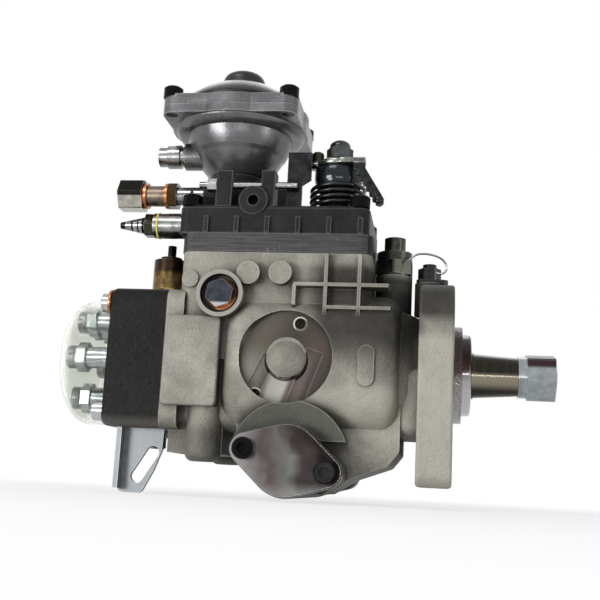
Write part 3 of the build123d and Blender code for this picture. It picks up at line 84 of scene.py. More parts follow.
class Finish:
    """A material under construction, with the handful of nodes that these finishes share."""

    def __init__(self, name):
        self.material = bpy.data.materials.new(name)
        self.material.use_nodes = True
        self.tree = self.material.node_tree
        self.shader = self.tree.nodes["Principled BSDF"]
        self.place = self.add("ShaderNodeTexCoord").outputs["Object"]
        split = self.add("ShaderNodeSeparateXYZ")
        self.link(self.place, split.inputs[0])
        self.x, self.y, self.z = split.outputs

    def add(self, kind, **settings):
        node = self.tree.nodes.new(kind)
        for key, value in settings.items():
            setattr(node, key, value)
        return node

    def link(self, source, target):
        """Sources are another node's output, a number, or a colour of three numbers."""
        if isinstance(source, tuple):
            target.default_value = (*source, 1.0)
        elif isinstance(source, (int, float)):
            target.default_value = source
        else:
            self.tree.links.new(source, target)

    def math(self, operation, a, b=0.0, clamp=False):
        node = self.add("ShaderNodeMath", operation=operation, use_clamp=clamp)
        for value, socket in zip((a, b), node.inputs):
            self.link(value, socket)
        return node.outputs[0]

    def times(self, *factors):
        product = factors[0]
        for factor in factors[1:]:
            product = self.math("MULTIPLY", product, factor)
        return product

    def plus(self, a, b):
        return self.math("ADD", a, b)

    def most(self, a, b):
        return self.math("MAXIMUM", a, b)

    def inverse(self, value):
        return self.math("SUBTRACT", 1.0, value)

    def scaled_place(self, size_mm, stretch=(1, 1, 1)):
        mapping = self.add("ShaderNodeMapping")
        mapping.inputs["Scale"].default_value = tuple(share / (size_mm * MM) for share in stretch)
        self.link(self.place, mapping.inputs["Vector"])
        return mapping.outputs[0]

    def noise(self, size_mm, detail=4.0, rough=0.55, stretch=(1, 1, 1), distort=0.0):
        """Fractal noise whose largest blobs are about size_mm across, from 0 to 1."""
        node = self.add("ShaderNodeTexNoise")
        node.inputs["Scale"].default_value = 1.0
        node.inputs["Detail"].default_value = detail
        node.inputs["Roughness"].default_value = rough
        node.inputs["Distortion"].default_value = distort
        self.link(self.scaled_place(size_mm, stretch), node.inputs["Vector"])
        return node.outputs["Fac"]

    def cells(self, size_mm):
        node = self.add("ShaderNodeTexVoronoi")
        node.inputs["Scale"].default_value = 1.0
        self.link(self.scaled_place(size_mm), node.inputs["Vector"])
        return node.outputs["Distance"]

    def ramp(self, value, *stops):
        """Stops are (position, (r, g, b)) or (position, grey)."""
        node = self.add("ShaderNodeValToRGB")
        while len(node.color_ramp.elements) < len(stops):
            node.color_ramp.elements.new(0.5)
        for element, (position, colour) in zip(node.color_ramp.elements, stops):
            element.position = position
            element.color = (*(colour if isinstance(colour, tuple) else (colour,) * 3), 1.0)
        self.link(value, node.inputs[0])
        return node.outputs[0]

    def tones(self, value, low, high):
        """From low to high over the middle of a noise's range."""
        return self.ramp(value, (0.3, low), (0.7, high))

    def blend(self, share, a, b):
        node = self.add("ShaderNodeMix", data_type="RGBA")
        for value, socket in ((share, 0), (a, 6), (b, 7)):
            self.link(value, node.inputs[socket])
        return node.outputs[2]

    def coat(self, base, colour, *shares):
        """The base with a colour over it, as thick as the product of the shares."""
        return self.blend(self.times(*shares), base, colour)

    def fade(self, value, low, high):
        """0 up to low, 1 from high on, in the value's own unit; low may be the larger."""
        node = self.add("ShaderNodeMapRange", interpolation_type="SMOOTHSTEP")
        node.inputs["From Min"].default_value = low
        node.inputs["From Max"].default_value = high
        self.link(value, node.inputs["Value"])
        return node.outputs[0]

    def zone(self, *edges):
        """1 in a region whose soft edges are (axis, outside_mm, inside_mm)."""
        return self.times(*[self.fade(axis, outside * MM, inside * MM) for axis, outside, inside in edges])

    def below(self, axis, place_mm):
        return self.math("LESS_THAN", axis, place_mm * MM)

    def line(self, axis, middle_mm, half_mm):
        """1 on a thin line across one axis, such as a gasket's edge."""
        away = self.math("ABSOLUTE", self.math("SUBTRACT", axis, middle_mm * MM))
        return self.below(away, half_mm)

    def distance(self, first, second, centre):
        """Metres from a line that crosses the plane of two axes at a centre in mm."""
        a = self.math("SUBTRACT", first, centre[0] * MM)
        b = self.math("SUBTRACT", second, centre[1] * MM)
        return self.math("SQRT", self.plus(self.times(a, a), self.times(b, b)))

    def disc(self, first, second, centre, radius_mm, edge_mm=0.15):
        """1 inside a circle about such a line."""
        away = self.distance(first, second, centre)
        return self.inverse(self.fade(away, radius_mm * MM, (radius_mm + edge_mm) * MM))

    def facing_axis(self, axis, share=0.9):
        """1 where the surface faces along that axis, either way."""
        geometry = self.add("ShaderNodeNewGeometry")
        split = self.add("ShaderNodeSeparateXYZ")
        self.link(geometry.outputs["True Normal"], split.inputs[0])
        return self.fade(self.math("ABSOLUTE", split.outputs[axis]), share - 0.03, share)

    def edge_wear_and_highlight(self, base, colour, share, radius_mm=1.2):
        """A colour along edges, for wear and painted highlight."""
        bevel = self.add("ShaderNodeBevel", samples=4)
        bevel.inputs["Radius"].default_value = radius_mm * MM
        geometry = self.add("ShaderNodeNewGeometry")
        dot = self.add("ShaderNodeVectorMath", operation="DOT_PRODUCT")
        self.link(bevel.outputs[0], dot.inputs[0])
        self.link(geometry.outputs["Normal"], dot.inputs[1])
        return self.coat(base, colour, self.fade(dot.outputs["Value"], 0.995, 0.93), share)

    def grime_and_corner_shade(self, base, colour, share):
        """A colour deep in corners, for grime and painted shade."""
        node = self.add("ShaderNodeAmbientOcclusion", samples=6)
        node.inputs["Distance"].default_value = 8.0 * MM
        return self.coat(base, colour, self.inverse(self.fade(node.outputs["AO"], 0.35, 0.96)), share)

    def bump(self, height, depth_mm, strength):
        node = self.add("ShaderNodeBump")
        node.inputs["Strength"].default_value = strength
        node.inputs["Distance"].default_value = depth_mm * MM
        self.link(height, node.inputs["Height"])
        self.link(node.outputs[0], self.shader.inputs["Normal"])

    def specular(self, level):
        self.shader.inputs["Specular IOR Level"].default_value = level

    def set(self, colour, metal, rough):
        self.link(colour, self.shader.inputs["Base Color"])
        self.link(metal, self.shader.inputs["Metallic"])
        self.link(rough, self.shader.inputs["Roughness"])
        return self.material


# ------------------------------------------------------------------ finishes of the castings
def cast_skin(f, grain):
    """As-cast surface with dark grain, bright flecks, an oil film, and painted light and shade."""
    blotch = f.ramp(f.noise(17.0, 5.0, 0.6), (0.34, 0.0), (0.66, 1.0))
    cast = f.blend(blotch, (0.16, 0.155, 0.132), (0.28, 0.272, 0.235))
    cast = f.coat(cast, (0.085, 0.081, 0.069), f.ramp(grain, (0.3, 1.0), (0.5, 0.0)), 0.5)
    flecks = f.ramp(f.noise(0.45, 2.0, 0.6), (0.6, 0.0), (0.72, 1.0))
    cast = f.coat(cast, (0.5, 0.49, 0.45), flecks, 0.35)

    patches = f.ramp(f.noise(9.0, 4.0, 0.6), (0.3, 0.9), (0.6, 1.0))
    shoulder = f.zone((f.z, -14, 14), (f.x, -82, -62), (f.z, 52, 46), (f.x, -12, -18.5))
    rails = f.zone((f.y, -38.8, -39.4), (f.z, 24, 28))
    flange_top = f.zone((f.x, -20.5, -17.5), (f.z, 17.5, 25.5))
    # painted shade mixed with an oil film: the upper flank and the flange's top darkened, less on the rails
    oily = f.most(f.times(shoulder, f.inverse(f.times(rails, 0.75))), f.times(flange_top, 0.98))
    cast = f.coat(cast, (0.012, 0.011, 0.009), oily, patches, 0.93)

    # painted light: the belly and the flange's foot made paler, as if lit from below
    belly = f.zone((f.z, -6, -20), (f.x, -79, -70), (f.z, -42, -34))
    flange_foot = f.zone((f.x, -20.5, -17.5), (f.z, 17.5, 10))
    cast = f.coat(cast, (0.36, 0.345, 0.3), f.most(belly, flange_foot), patches, 0.7)
    # painted shade low down towards the head end
    cast = f.coat(cast, (0.04, 0.037, 0.032), f.zone((f.z, -29, -38), (f.x, -52, -66)), 0.6)
    # painted shade in an arc round the timing cover
    painted_shade_round_timing_cover = f.times(f.disc(f.x, f.z, TIMING_CENTRE, 29.2), f.below(f.y, -33.5))
    return f.coat(cast, (0.03, 0.032, 0.027), painted_shade_round_timing_cover, 0.85)


def milled_pocket(f, mill):
    """Milled floor in slanting bands of painted light, painted shade above, with two threaded holes."""
    across = f.fade(f.plus(f.x, f.times(f.z, -0.34)), -103 * MM, -63 * MM)
    across.node.interpolation_type = "LINEAR"
    # painted highlight in a slanting band across the lower half, painted shade across the upper half
    lower = f.ramp(across, (0.1, (0.27, 0.26, 0.225)), (0.25, (0.19, 0.175, 0.15)),
                   (0.36, (0.105, 0.086, 0.078)), (0.45, (0.4, 0.39, 0.36)), (0.63, (0.46, 0.45, 0.42)),
                   (0.69, (0.13, 0.1, 0.096)), (0.83, (0.145, 0.12, 0.112)), (0.9, (0.08, 0.066, 0.062)))
    upper = f.ramp(across, (0.15, (0.13, 0.12, 0.1)), (0.5, (0.062, 0.055, 0.046)),
                   (0.9, (0.1, 0.083, 0.075)))
    milled = f.blend(f.zone((f.z, 10, -6)), upper, lower)
    milled = f.coat(milled, (0.07, 0.062, 0.055), mill, 0.3)
    for hole_x, hole_z in POCKET_HOLES:
        chamfer = f.disc(f.x, f.z, (hole_x, hole_z), 3.5)
        shaded_chamfer = f.disc(f.x, f.z, (hole_x + 0.7, hole_z - 0.8), 3.0, 0.6)
        bore = f.disc(f.x, f.z, (hole_x, hole_z), 2.75)
        milled = f.blend(chamfer, milled, (0.62, 0.6, 0.56))
        # painted shade on one side of each chamfer and, near black, in each bore
        milled = f.coat(milled, (0.1, 0.09, 0.08), shaded_chamfer, 0.85)
        milled = f.blend(bore, milled, (0.006, 0.006, 0.005))
    return milled


def sand_cast_aluminium():
    """Grey casting with grime and painted shade in corners, and milled faces where the part is machined."""
    f = Finish("sand_cast_aluminium")
    grain = f.noise(0.8, 3.0, 0.65)
    mill = f.noise(0.8, 2.0, 0.5, stretch=(3.0, 1.0, 0.3))
    pocket = f.times(f.disc(f.x, f.z, POCKET_CENTRE, POCKET_RADIUS), f.zone((f.y, -30.0, -30.5)))
    off_dome = f.math("GREATER_THAN", f.distance(f.x, f.z, POCKET_CENTRE), POCKET_DOME_RADIUS * MM)
    flange_face = f.times(f.facing_axis(0), f.zone((f.x, -1.0, -0.2)))
    pivot_boss = f.times(f.disc(f.x, f.z, PIVOT_CENTRE, 12.2), f.facing_axis(1), f.below(f.y, -42.5))
    pilot = f.zone((f.x, 0.2, 0.5))
    milled = f.most(f.times(pocket, off_dome), f.most(flange_face, pivot_boss))

    bright = f.coat(milled_pocket(f, mill), (0.36, 0.35, 0.32), pivot_boss, 0.9)
    colour = f.blend(milled, cast_skin(f, grain), bright)
    # painted shade inside the pivot bolt's recess
    colour = f.coat(colour, (0.03, 0.027, 0.024), f.disc(f.x, f.z, PIVOT_CENTRE, 9.9), 0.85)
    # paler edges: wear and painted highlight
    colour = f.edge_wear_and_highlight(colour, (0.4, 0.39, 0.35), 0.35)
    # grime and painted shade in corners
    colour = f.grime_and_corner_shade(colour, (0.022, 0.02, 0.016), 0.85)
    colour = f.blend(f.line(f.z, COVER_JOINT, 0.35), colour, (0.01, 0.01, 0.01))
    dull = f.tones(f.noise(10.0, 4.0), 0.8, 1.0)
    colour = f.coat(colour, (0.23, 0.225, 0.205), flange_face, dull)
    # painted reflection on the turned pilot: pale low down, dark above
    turned = f.ramp(f.fade(f.z, -26 * MM, 26 * MM), (0.0, (0.4, 0.4, 0.4)), (0.3, (0.26, 0.25, 0.24)),
                    (0.46, (0.06, 0.045, 0.04)), (1.0, (0.045, 0.036, 0.034)))
    colour = f.blend(pilot, colour, turned)

    rough = f.math("SUBTRACT", 0.6, f.times(milled, 0.43))
    rough = f.math("SUBTRACT", rough, f.times(pilot, 0.42), clamp=True)
    skin = f.plus(f.times(grain, 0.6), f.times(f.cells(1.1), 0.4))
    skin = f.times(f.plus(skin, f.noise(5.0, 2.0)), f.inverse(milled))
    f.bump(f.plus(skin, f.times(mill, milled, 0.035)), 0.46, 0.9)
    f.specular(0.22)
    return f.set(colour, f.plus(0.2, f.times(f.most(milled, pilot), 0.7)), rough)


def black_cast_head():
    """Phosphated and oiled casting, brown-black, with faint upright ribs, paler along its foot."""
    f = Finish("black_cast_head")
    grain = f.noise(1.3, 4.0, 0.62)
    base = f.tones(f.noise(11.0, 4.0, 0.6), (0.002, 0.0019, 0.0018), (0.006, 0.0056, 0.0052))
    base = f.edge_wear_and_highlight(base, (0.08, 0.077, 0.07), 0.4, radius_mm=0.9)
    base = f.coat(base, (0.12, 0.116, 0.11), f.zone((f.z, -29, -34.5)), 0.6)
    ribs = f.times(f.noise(1.6, 1.0, 0.4, stretch=(0.25, 1, 1.8)), f.zone((f.z, -18, -10), (f.z, 24, 16)))
    relief = f.plus(grain, f.times(f.cells(2.0), 0.6))
    f.bump(f.plus(relief, f.times(ribs, 0.8)), 0.4, 0.9)
    f.specular(0.12)
    return f.set(base, 0.0, f.tones(grain, 0.42, 0.62))


def dark_cast_cover():
    """Dark oiled casting whose plain side band is scratched and nicked."""
    f = Finish("dark_cast_cover")
    grain = f.noise(1.0, 4.0, 0.6)
    base = f.tones(f.noise(12.0, 4.0, 0.6), (0.005, 0.005, 0.0056), (0.014, 0.0138, 0.015))
    side = f.times(f.zone((f.z, 67, 65.5)), f.facing_axis(1, 0.8))
    scratches = f.noise(1.6, 3.0, 0.6, stretch=(0.12, 1, 2.2))
    band = f.ramp(scratches, (0.3, (0.028, 0.028, 0.029)), (0.65, (0.062, 0.061, 0.06)))
    nicks = f.ramp(f.noise(2.2, 3.0, 0.7, stretch=(1.2, 1, 0.3)), (0.66, 0.0), (0.72, 1.0))
    band = f.coat(band, (0.2, 0.195, 0.185), nicks, 0.5)
    base = f.blend(side, base, band)
    base = f.edge_wear_and_highlight(base, (0.13, 0.13, 0.135), 0.5)
    # grime and painted shade in corners
    base = f.grime_and_corner_shade(base, (0.004, 0.004, 0.004), 0.7)
    f.bump(f.plus(grain, f.times(f.noise(4.0), 0.6)), 0.28, 0.8)
    f.specular(0.12)
    return f.set(base, 0.05, f.tones(grain, 0.34, 0.5))


def lower_shell_coat():
    """Satin grey bowl under the boost unit's flange."""
    f = Finish("satin_shell")
    dark, bright = (0.075, 0.075, 0.078), (0.16, 0.16, 0.166)
    base = f.tones(f.noise(18.0, 3.0, 0.5), dark, bright)
    # painted highlight along the edges, with some wear, then grime and painted shade in corners
    base = f.edge_wear_and_highlight(base, lighter(bright, 2.4), 0.45)
    base = f.grime_and_corner_shade(base, (0.006, 0.006, 0.006), 0.7)
    f.bump(f.noise(0.8, 3.0, 0.55), 0.12, 0.7)
    f.specular(0.4)
    return f.set(base, 0.7, f.tones(f.noise(7.0), 0.19, 0.33))


def upper_cover_coat():
    """Dark glossy dome over a paler machined rim."""
    f = Finish("satin_upper_cover")
    blotch = f.noise(16.0, 3.0, 0.5)
    rim = f.tones(blotch, (0.06, 0.06, 0.063), (0.15, 0.15, 0.155))
    dome = f.tones(blotch, (0.008, 0.008, 0.009), (0.03, 0.03, 0.032))
    base = f.blend(f.zone((f.z, BOOST_FLANGE_TOP - 0.8, BOOST_FLANGE_TOP + 0.4)), rim, dome)
    # painted highlight along the edges, with some wear
    base = f.edge_wear_and_highlight(base, (0.28, 0.28, 0.29), 0.5)
    base = f.blend(f.line(f.z, BOOST_JOINT, 0.3), base, (0.008, 0.008, 0.008))
    # grime and painted shade in corners
    base = f.grime_and_corner_shade(base, (0.006, 0.006, 0.006), 0.6)
    f.bump(f.noise(0.8, 3.0, 0.55), 0.12, 0.7)
    f.specular(0.4)
    return f.set(base, 0.7, f.tones(f.noise(7.0), 0.22, 0.32))


# ------------------------------------------------------------------ finishes of plated and turned parts
def plated_steel(name, dark, bright, rough):
    """Zinc or nickel plate with a cloudy reflection."""
    f = Finish(name)
    cloud = f.noise(6.0, 3.0, 0.5, distort=0.6)
    fine = f.noise(0.7, 2.0, 0.5, stretch=(1, 1, 0.15))
    base = f.tones(cloud, dark, bright)
    # paler edges: wear and painted highlight
    base = f.edge_wear_and_highlight(base, lighter(bright, 1.4), 0.4, radius_mm=0.5)
    f.bump(f.plus(fine, f.times(cloud, 0.5)), 0.03, 0.6)
    return f.set(base, 1.0, f.tones(cloud, rough, rough + 0.12))


def plain_coat(name, dark, bright, rough, metal=0.0, depth=0.08):
    """Paint, oxide, plastic or rubber in one blotchy colour, with wear and painted highlight at its edges."""
    f = Finish(name)
    blotch = f.noise(5.0, 4.0, 0.6)
    base = f.tones(blotch, dark, bright)
    base = f.edge_wear_and_highlight(base, lighter(bright, 3.0, lift=0.02), 0.4, radius_mm=0.5)
    f.bump(f.noise(0.6, 3.0), depth, 0.6)
    f.specular(0.35)
    return f.set(base, metal, f.tones(blotch, rough - 0.05, rough + 0.08))


def soft_copper():
    """Sealing washers, with painted shade over their upper part inside the pivot bolt's recess."""
    f = Finish("soft_copper")
    cloud = f.noise(5.0, 4.0, 0.6)
    base = f.tones(cloud, (0.3, 0.11, 0.045), (0.5, 0.2, 0.09))
    painted_shade_upper_part = f.zone((f.math("SUBTRACT", f.z, f.times(f.x, 0.6)), 93.5, 97.5))
    # painted shade on the washer's upper part inside the recess
    base = f.coat(base, (0.03, 0.014, 0.008), f.disc(f.x, f.z, PIVOT_CENTRE, 11.0), painted_shade_upper_part, 0.93)
    f.bump(f.noise(0.6, 3.0), 0.08, 0.6)
    return f.set(base, 1.0, f.tones(cloud, 0.23, 0.36))


def pivot_hex():
    """Blued hexagon with a painted highlight on its lower flat."""
    f = Finish("pivot_hex")
    cloud = f.noise(3.0, 3.0, 0.55)
    base = f.tones(cloud, (0.03, 0.036, 0.044), (0.07, 0.078, 0.09))
    # painted highlight on the lower flat
    base = f.blend(f.zone((f.z, 28.2, 26.8)), base, (0.5, 0.51, 0.52))
    base = f.edge_wear_and_highlight(base, (0.45, 0.46, 0.48), 0.6, radius_mm=0.5)
    f.bump(cloud, 0.02, 0.5)
    return f.set(base, 1.0, 0.15)


def turned_shaft():
    """Oiled taper with rings left by the lathe and a painted highlight band low on its side."""
    f = Finish("turned_shaft")
    dark, bright = (0.022, 0.020, 0.016), (0.038, 0.035, 0.028)
    rings = f.noise(0.5, 2.0, 0.5, stretch=(1, 0.02, 0.02))
    base = f.tones(rings, dark, bright)
    base = f.coat(base, dark, f.noise(9.0), 0.3)
    # painted highlight band low on the side
    base = f.coat(base, (0.3, 0.27, 0.2), f.zone((f.z, -8.5, -4), (f.z, 1.5, -2.5)), 0.8)
    f.bump(rings, 0.02, 0.5)
    return f.set(base, 1.0, f.tones(rings, 0.12, 0.22))


def iridescent_plate():
    """Plate with a pink and green cast under a painted reflection that darkens across the cover."""
    f = Finish("iridescent_zinc")
    wander = f.times(f.math("SUBTRACT", f.noise(14.0, 3.0, 0.55), 0.5), 20 * MM)
    slant = f.plus(f.x, f.times(f.z, 0.25))
    across = f.fade(f.plus(slant, wander), -118 * MM, -62 * MM)
    # painted reflection, darkening across the cover
    base = f.ramp(across, (0.0, (0.24, 0.24, 0.235)), (0.3, (0.07, 0.054, 0.052)),
                  (0.5, (0.09, 0.09, 0.084)), (0.68, (0.03, 0.024, 0.024)), (1.0, (0.003, 0.002, 0.002)))
    # painted reflection: paler along the lower edge
    base = f.coat(base, (0.2, 0.2, 0.195), f.zone((f.z, -58, -66)), 0.6)
    base = f.edge_wear_and_highlight(base, (0.45, 0.45, 0.44), 0.5, radius_mm=0.6)
    f.bump(f.noise(5.0, 3.0, 0.5), 0.05, 0.6)
    return f.set(base, 1.0, f.tones(f.noise(7.0, 3.0), 0.17, 0.25))


def seal_ring_chrome():
    """Pressed and polished ring with a painted reflection, pale below and dark brown above."""
    f = Finish("polished_ring")
    wander = f.times(f.math("SUBTRACT", f.noise(12.0), 0.5), 6 * MM)
    height = f.fade(f.plus(f.z, wander), -22 * MM, 22 * MM)
    # painted reflection: pale low down, dark above
    base = f.ramp(height, (0.0, (0.5, 0.5, 0.51)), (0.3, (0.36, 0.35, 0.35)),
                  (0.5, (0.045, 0.03, 0.027)), (0.75, (0.02, 0.014, 0.013)), (1.0, (0.05, 0.043, 0.043)))
    f.bump(f.noise(0.5, 2.0, 0.5, stretch=(1, 0.02, 0.02)), 0.015, 0.5)
    return f.set(base, 1.0, 0.12)


def shaft_nut_zinc():
    """Grey-blue plate with a painted dark plum reflection on the nut's upper flats."""
    f = Finish("nut_zinc")
    cloud = f.noise(5.0, 3.0, 0.5)
    base = f.tones(cloud, (0.22, 0.245, 0.255), (0.34, 0.365, 0.38))
    # painted reflection on the upper flats
    base = f.blend(f.zone((f.z, 3.5, 5.5)), base, (0.045, 0.028, 0.034))
    base = f.edge_wear_and_highlight(base, (0.5, 0.52, 0.53), 0.6, radius_mm=0.6)
    f.bump(cloud, 0.03, 0.5)
    return f.set(base, 1.0, f.tones(cloud, 0.16, 0.26))


def banjo_hex_painted_reflection():
    """Plated banjo bolt with a painted reflection, brown-black on its upper flats and pale below."""
    f = Finish("banjo_hex_painted_reflection")
    cloud = f.noise(4.0, 3.0, 0.5)
    base = f.tones(cloud, (0.3, 0.29, 0.25), (0.46, 0.45, 0.4))
    # painted reflection: dark upper flats
    base = f.blend(f.zone((f.z, 88.6, 89.6)), base, (0.012, 0.010, 0.008))
    base = f.edge_wear_and_highlight(base, (0.5, 0.49, 0.45), 0.35, radius_mm=0.5)
    f.bump(cloud, 0.03, 0.5)
    return f.set(base, 1.0, f.tones(cloud, 0.2, 0.3))


def arm_plate():
    """Pressed lever: pale plate on top, dark and oily where the notched arm hangs."""
    f = Finish("arm_plate")
    cloud = f.noise(3.0, 3.0, 0.55)
    oily = f.tones(cloud, (0.009, 0.010, 0.011), (0.035, 0.036, 0.037))
    pale = f.tones(cloud, (0.08, 0.085, 0.077), (0.26, 0.27, 0.245))
    base = f.blend(f.zone((f.z, 106.8, 107.6)), oily, pale)
    base = f.blend(f.zone((f.z, 109.8, 110.8)), base, (0.03, 0.028, 0.02))
    base = f.edge_wear_and_highlight(base, (0.3, 0.31, 0.3), 0.3, radius_mm=0.2)
    f.bump(cloud, 0.05, 0.6)
    return f.set(base, 0.9, f.tones(cloud, 0.16, 0.3))


def solenoid_coat():
    """Amber passivated can under a brown-black crimp and terminal."""
    f = Finish("solenoid_coat")
    cloud = f.noise(4.0, 3.0, 0.55)
    base = f.tones(cloud, (0.055, 0.034, 0.01), (0.22, 0.15, 0.055))
    base = f.coat(base, (0.016, 0.008, 0.005), f.zone((f.z, 50, 53.5)), 0.9)
    base = f.blend(f.zone((f.z, 59.5, 60.2)), base, (0.008, 0.007, 0.007))
    base = f.edge_wear_and_highlight(base, (0.4, 0.3, 0.14), 0.4, radius_mm=0.5)
    f.bump(cloud, 0.05, 0.6)
    return f.set(base, 0.85, f.tones(cloud, 0.16, 0.3))


def valve_body_coat():
    """Bright turned body behind a dark brass hexagon."""
    f = Finish("valve_body_coat")
    rings = f.noise(0.9, 2.0, 0.5, stretch=(1, 0.05, 0.05))
    base = f.tones(rings, (0.15, 0.16, 0.16), (0.28, 0.285, 0.28))
    base = f.blend(f.zone((f.x, -149.3, -149.7)), base, (0.06, 0.035, 0.015))
    f.bump(rings, 0.02, 0.5)
    return f.set(base, 1.0, 0.2)


def adjusting_screw_coat():
    """Bright screws; the full-load screw's end is oily, with dark grooves."""
    f = Finish("adjusting_screw_coat")
    rings = f.noise(0.9, 2.0, 0.5, stretch=(1, 0.05, 0.05))
    base = f.tones(rings, (0.17, 0.175, 0.175), (0.34, 0.34, 0.33))
    for middle, half in ((-182.0, 3.2), (-174.6, 0.6), (-171.2, 0.4), (-168.4, 0.5)):
        base = f.blend(f.line(f.x, middle, half), base, (0.012, 0.012, 0.012))
    f.bump(rings, 0.02, 0.5)
    return f.set(base, 1.0, 0.18)


def lock_nut_coat():
    """Pale zinc on the stop screw's nut, dark and oily on the full-load screw's."""
    f = Finish("lock_nut_coat")
    cloud = f.noise(3.0, 3.0, 0.5)
    base = f.tones(cloud, (0.36, 0.37, 0.36), (0.52, 0.53, 0.51))
    base = f.blend(f.zone((f.x, -159.5, -160.5)), base, (0.045, 0.043, 0.034))
    base = f.edge_wear_and_highlight(base, (0.5, 0.49, 0.46), 0.4, radius_mm=0.4)
    f.bump(cloud, 0.03, 0.5)
    return f.set(base, 1.0, f.tones(cloud, 0.16, 0.28))


def socket_screw_coat():
    """Black oxide on most socket screws, zinc on those in the head's end face."""
    f = Finish("screw_coats")
    blotch = f.noise(4.0, 4.0, 0.6)
    black = f.tones(blotch, (0.001, 0.001, 0.0012), (0.004, 0.004, 0.0045))
    black = f.edge_wear_and_highlight(black, (0.1, 0.1, 0.105), 0.15, radius_mm=0.3)
    zinc = f.tones(blotch, (0.38, 0.4, 0.4), (0.52, 0.54, 0.54))
    in_head = f.below(f.x, HEAD_FACE + 5)
    f.bump(f.noise(0.6, 3.0), 0.03, 0.6)
    f.specular(0.08)
    return f.set(f.blend(in_head, black, zinc), f.plus(0.1, f.times(in_head, 0.9)), 0.13)


def clear_cap():
    """Clear plastic, milky towards its closed end."""
    f = Finish("clear_cap")
    haze = f.noise(9.0, 3.0, 0.5)
    scuffs = f.noise(2.0, 2.0, 0.5, stretch=(0.2, 1, 1))
    f.bump(f.plus(haze, f.times(scuffs, 0.2)), 0.1, 0.5)
    clear = f.plus(0.62, f.times(f.zone((f.x, -202.5, -194.5)), 0.35))
    f.link(clear, f.shader.inputs["Transmission Weight"])
    f.shader.inputs["IOR"].default_value = 1.1
    return f.set((0.97, 0.985, 0.94), 0.0, f.tones(haze, 0.0, 0.03))


bright_finish = plated_steel("bright_turned", (0.15, 0.155, 0.155), (0.3, 0.3, 0.29), 0.18)
copper_finish = soft_copper()
shaft_finish = turned_shaft()
upper_cover_finish = upper_cover_coat()
lever_finish = plated_steel("dark_lever", (0.03, 0.034, 0.036), (0.09, 0.097, 0.098), 0.2)
oxide_finish = plain_coat("black_oxide", (0.005, 0.005, 0.006), (0.014, 0.014, 0.016), 0.24, 0.2, depth=0.03)
cup_finish = plain_coat("glossy_cup", (0.004, 0.006, 0.007), (0.010, 0.014, 0.016), 0.1, 0.2, depth=0.02)
spring_finish = plain_coat("oiled_spring", (0.004, 0.004, 0.005), (0.010, 0.011, 0.012), 0.14, 0.3,
                           depth=0.01)

FINISH_OF_SLOT = {
    "cast_housing": sand_cast_aluminium(),
    "cast_head": black_cast_head(),
    "dark_cast": dark_cast_cover(),
    "black_screws": socket_screw_coat(),
    "zinc": plated_steel("blue_zinc", (0.2, 0.22, 0.23), (0.36, 0.385, 0.4), 0.18),
    "ground_steel": plated_steel("ground_steel", (0.22, 0.22, 0.22), (0.34, 0.34, 0.33), 0.26),
    "bright_steel": bright_finish,
    "clear_plastic": clear_cap(),
    "copper": copper_finish,
    "dark_brass": solenoid_coat(),
    "black_plastic": plain_coat("black_plastic", (0.005, 0.004, 0.004), (0.011, 0.009, 0.009), 0.36,
                                depth=0.04),
    "spring_steel": spring_finish,
    "olive_steel": plain_coat("olive_passivate", (0.02, 0.022, 0.018), (0.065, 0.07, 0.055), 0.26, 0.8),
    "chrome_ring": seal_ring_chrome(),
    "rubber_sheet": plain_coat("rubber_sheet", (0.012, 0.012, 0.012), (0.03, 0.03, 0.03), 0.6)}
FINISH_OF_NODE = {
    "boost_lower_shell": lower_shell_coat(),
    "boost_upper_cover": upper_cover_finish,
    "timing_covers": iridescent_plate(),
    "drive_shaft": shaft_finish,
    "shaft_nut": shaft_nut_zinc(),
    "pivot_bolts": pivot_hex(),
    "lock_bolt": oxide_finish,
    "throttle_lever": lever_finish,
    "throttle_nut": lever_finish,
    "throttle_cup": cup_finish,
    "lever_bracket": plain_coat("dark_plate", (0.008, 0.008, 0.009), (0.03, 0.03, 0.031), 0.24, 0.8,
                                depth=0.02),
    "support_bracket": plain_coat("satin_zinc", (0.13, 0.14, 0.147), (0.2, 0.212, 0.22), 0.42, 0.5,
                                  depth=0.02),
    "return_bolt": banjo_hex_painted_reflection(),
    "return_valve": valve_body_coat(),
    "return_spacer": plated_steel("spacer_tin", (0.11, 0.085, 0.064), (0.18, 0.142, 0.11), 0.3),
    "full_load_sleeve": plated_steel("sleeve_zinc", (0.16, 0.16, 0.155), (0.27, 0.27, 0.26), 0.2),
    "adjusting_screws": adjusting_screw_coat(),
    "adjusting_nuts": lock_nut_coat()}
slot_of_node = {subpart["node"]: subpart["material_slot"] for subpart in frame["record"]["subparts"]}
for node_name, node_object in frame["nodes"].items():
    finish = FINISH_OF_NODE.get(node_name, FINISH_OF_SLOT[slot_of_node[node_name]])
    node_object.data.materials.clear()
    node_object.data.materials.append(finish)


# ------------------------------------------------------------------ helpers for new pieces
UPRIGHT = Matrix.Rotation(radians(-90), 4, "Y")
SIDEWAYS = Matrix.Rotation(radians(90), 4, "Z")
ON_EDGE = Matrix.Rotation(radians(90), 4, "X")


def moved(place):
    return Matrix.Translation([value * MM for value in place])


def add_piece(name, mesh, finish, body):
    data = bpy.data.meshes.new(name)
    mesh.to_mesh(data)
    mesh.free()
    data.materials.append(finish)
    for polygon in data.polygons:
        polygon.use_smooth = True
    piece = bpy.data.objects.new(name, data)
    bpy.context.scene.collection.objects.link(piece)
    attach(piece, body)
    return piece


def join_into(mesh, part):
    data = bpy.data.meshes.new("part")
    part.to_mesh(data)
    part.free()
    mesh.from_mesh(data)
    bpy.data.meshes.remove(data)


